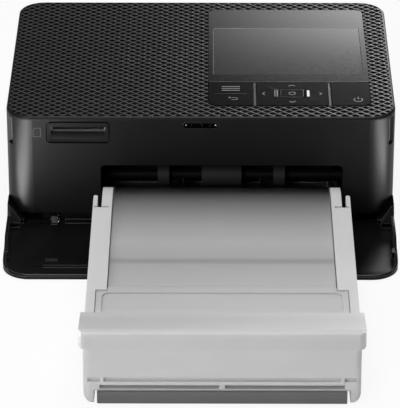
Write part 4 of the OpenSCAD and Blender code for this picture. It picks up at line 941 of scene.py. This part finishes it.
def glow_card(name, corners, bright, edges):
    """A card that only gloss shows.

    Edges are an axis, the place where the card is dark and the place where it has its full light.
    """
    mat, tree, shader = new_material(name)
    tree.nodes.remove(shader)
    level = bright
    for axis, dark, light in edges:
        part = tree.nodes.new("ShaderNodeMapRange")
        part.interpolation_type = "SMOOTHSTEP"
        part.inputs["From Min"].default_value = dark
        part.inputs["From Max"].default_value = light
        tree.links.new(separate_axes(tree)[axis], part.inputs["Value"])
        level = product(tree, part.outputs["Result"], level)
    glow = tree.nodes.new("ShaderNodeEmission")
    tree.links.new(level, glow.inputs["Strength"])
    tree.links.new(glow.outputs[0], tree.nodes["Material Output"].inputs["Surface"])
    obj = flat_stage(name, corners, mat)
    obj.visible_camera = False
    obj.visible_diffuse = False
    obj.visible_transmission = False
    obj.visible_shadow = False


def lights():
    """Soft lamps for the whole object, and cards that are only mirrored in its dark gloss."""
    soft_light("overhead", (0.0, 0.0, 1.5), aim=(0, 0, 0), width=1.3, height=0.9, radiance=4.6)
    soft_light("front_left", (-0.62, -1.1, 0.55), aim=(0, -0.1, 0.03), width=0.6, height=0.5,
               radiance=7.5)
    soft_light("left_card", (-0.128, -0.075, 0.002), aim=(-0.128, -0.075, 1), width=0.05,
               height=0.16, radiance=19.0, mirrored_only=True)
    soft_light("right_card", (0.158, -0.062, 0.002), aim=(0.158, -0.062, 1), width=0.05,
               height=0.14, radiance=18.0, mirrored_only=True)
    left, right, low, high, behind = -0.1, 0.4, 0.04, 0.52, 0.95
    corners = [
        (left, behind, low),
        (right, behind, low),
        (right, behind, high),
        (left, behind, high),
    ]
    glow_card("back_card", corners, 7.3, (("X", -0.08, 0.30), ("Z", 0.475, 0.405)))


def sky():
    """An even pale room that the camera sees as white."""
    world = bpy.data.worlds.new("pale_room")
    bpy.context.scene.world = world
    world.use_nodes = True
    tree = world.node_tree
    room = tree.nodes["Background"]
    room.inputs["Color"].default_value = (1, 1, 1, 1)
    room.inputs["Strength"].default_value = ROOM_LIGHT
    white = tree.nodes.new("ShaderNodeBackground")
    white.inputs["Strength"].default_value = 1.0
    white_for_camera(tree, camera_ray(tree), room, white, "World Output")


def camera():
    """The photograph's view, fitted to its outlines, for an image of 400 by 408."""
    place = (0.0051836, -1.2672806, 0.6791857)
    tilt = math.radians(62.504)
    turn = 0.004314
    lens, sensor, far = 270.34, 36, 20
    data = bpy.data.cameras.new("camera")
    data.sensor_width = sensor
    data.sensor_fit = "AUTO"
    data.lens = lens
    data.clip_end = far
    obj = bpy.data.objects.new("camera", data)
    bpy.context.scene.collection.objects.link(obj)
    obj.location = place
    obj.rotation_euler = (tilt, 0, turn)
    bpy.context.scene.camera = obj


floor()
lights()
sky()
camera()
bpy.context.scene.view_settings.view_transform = "Standard"
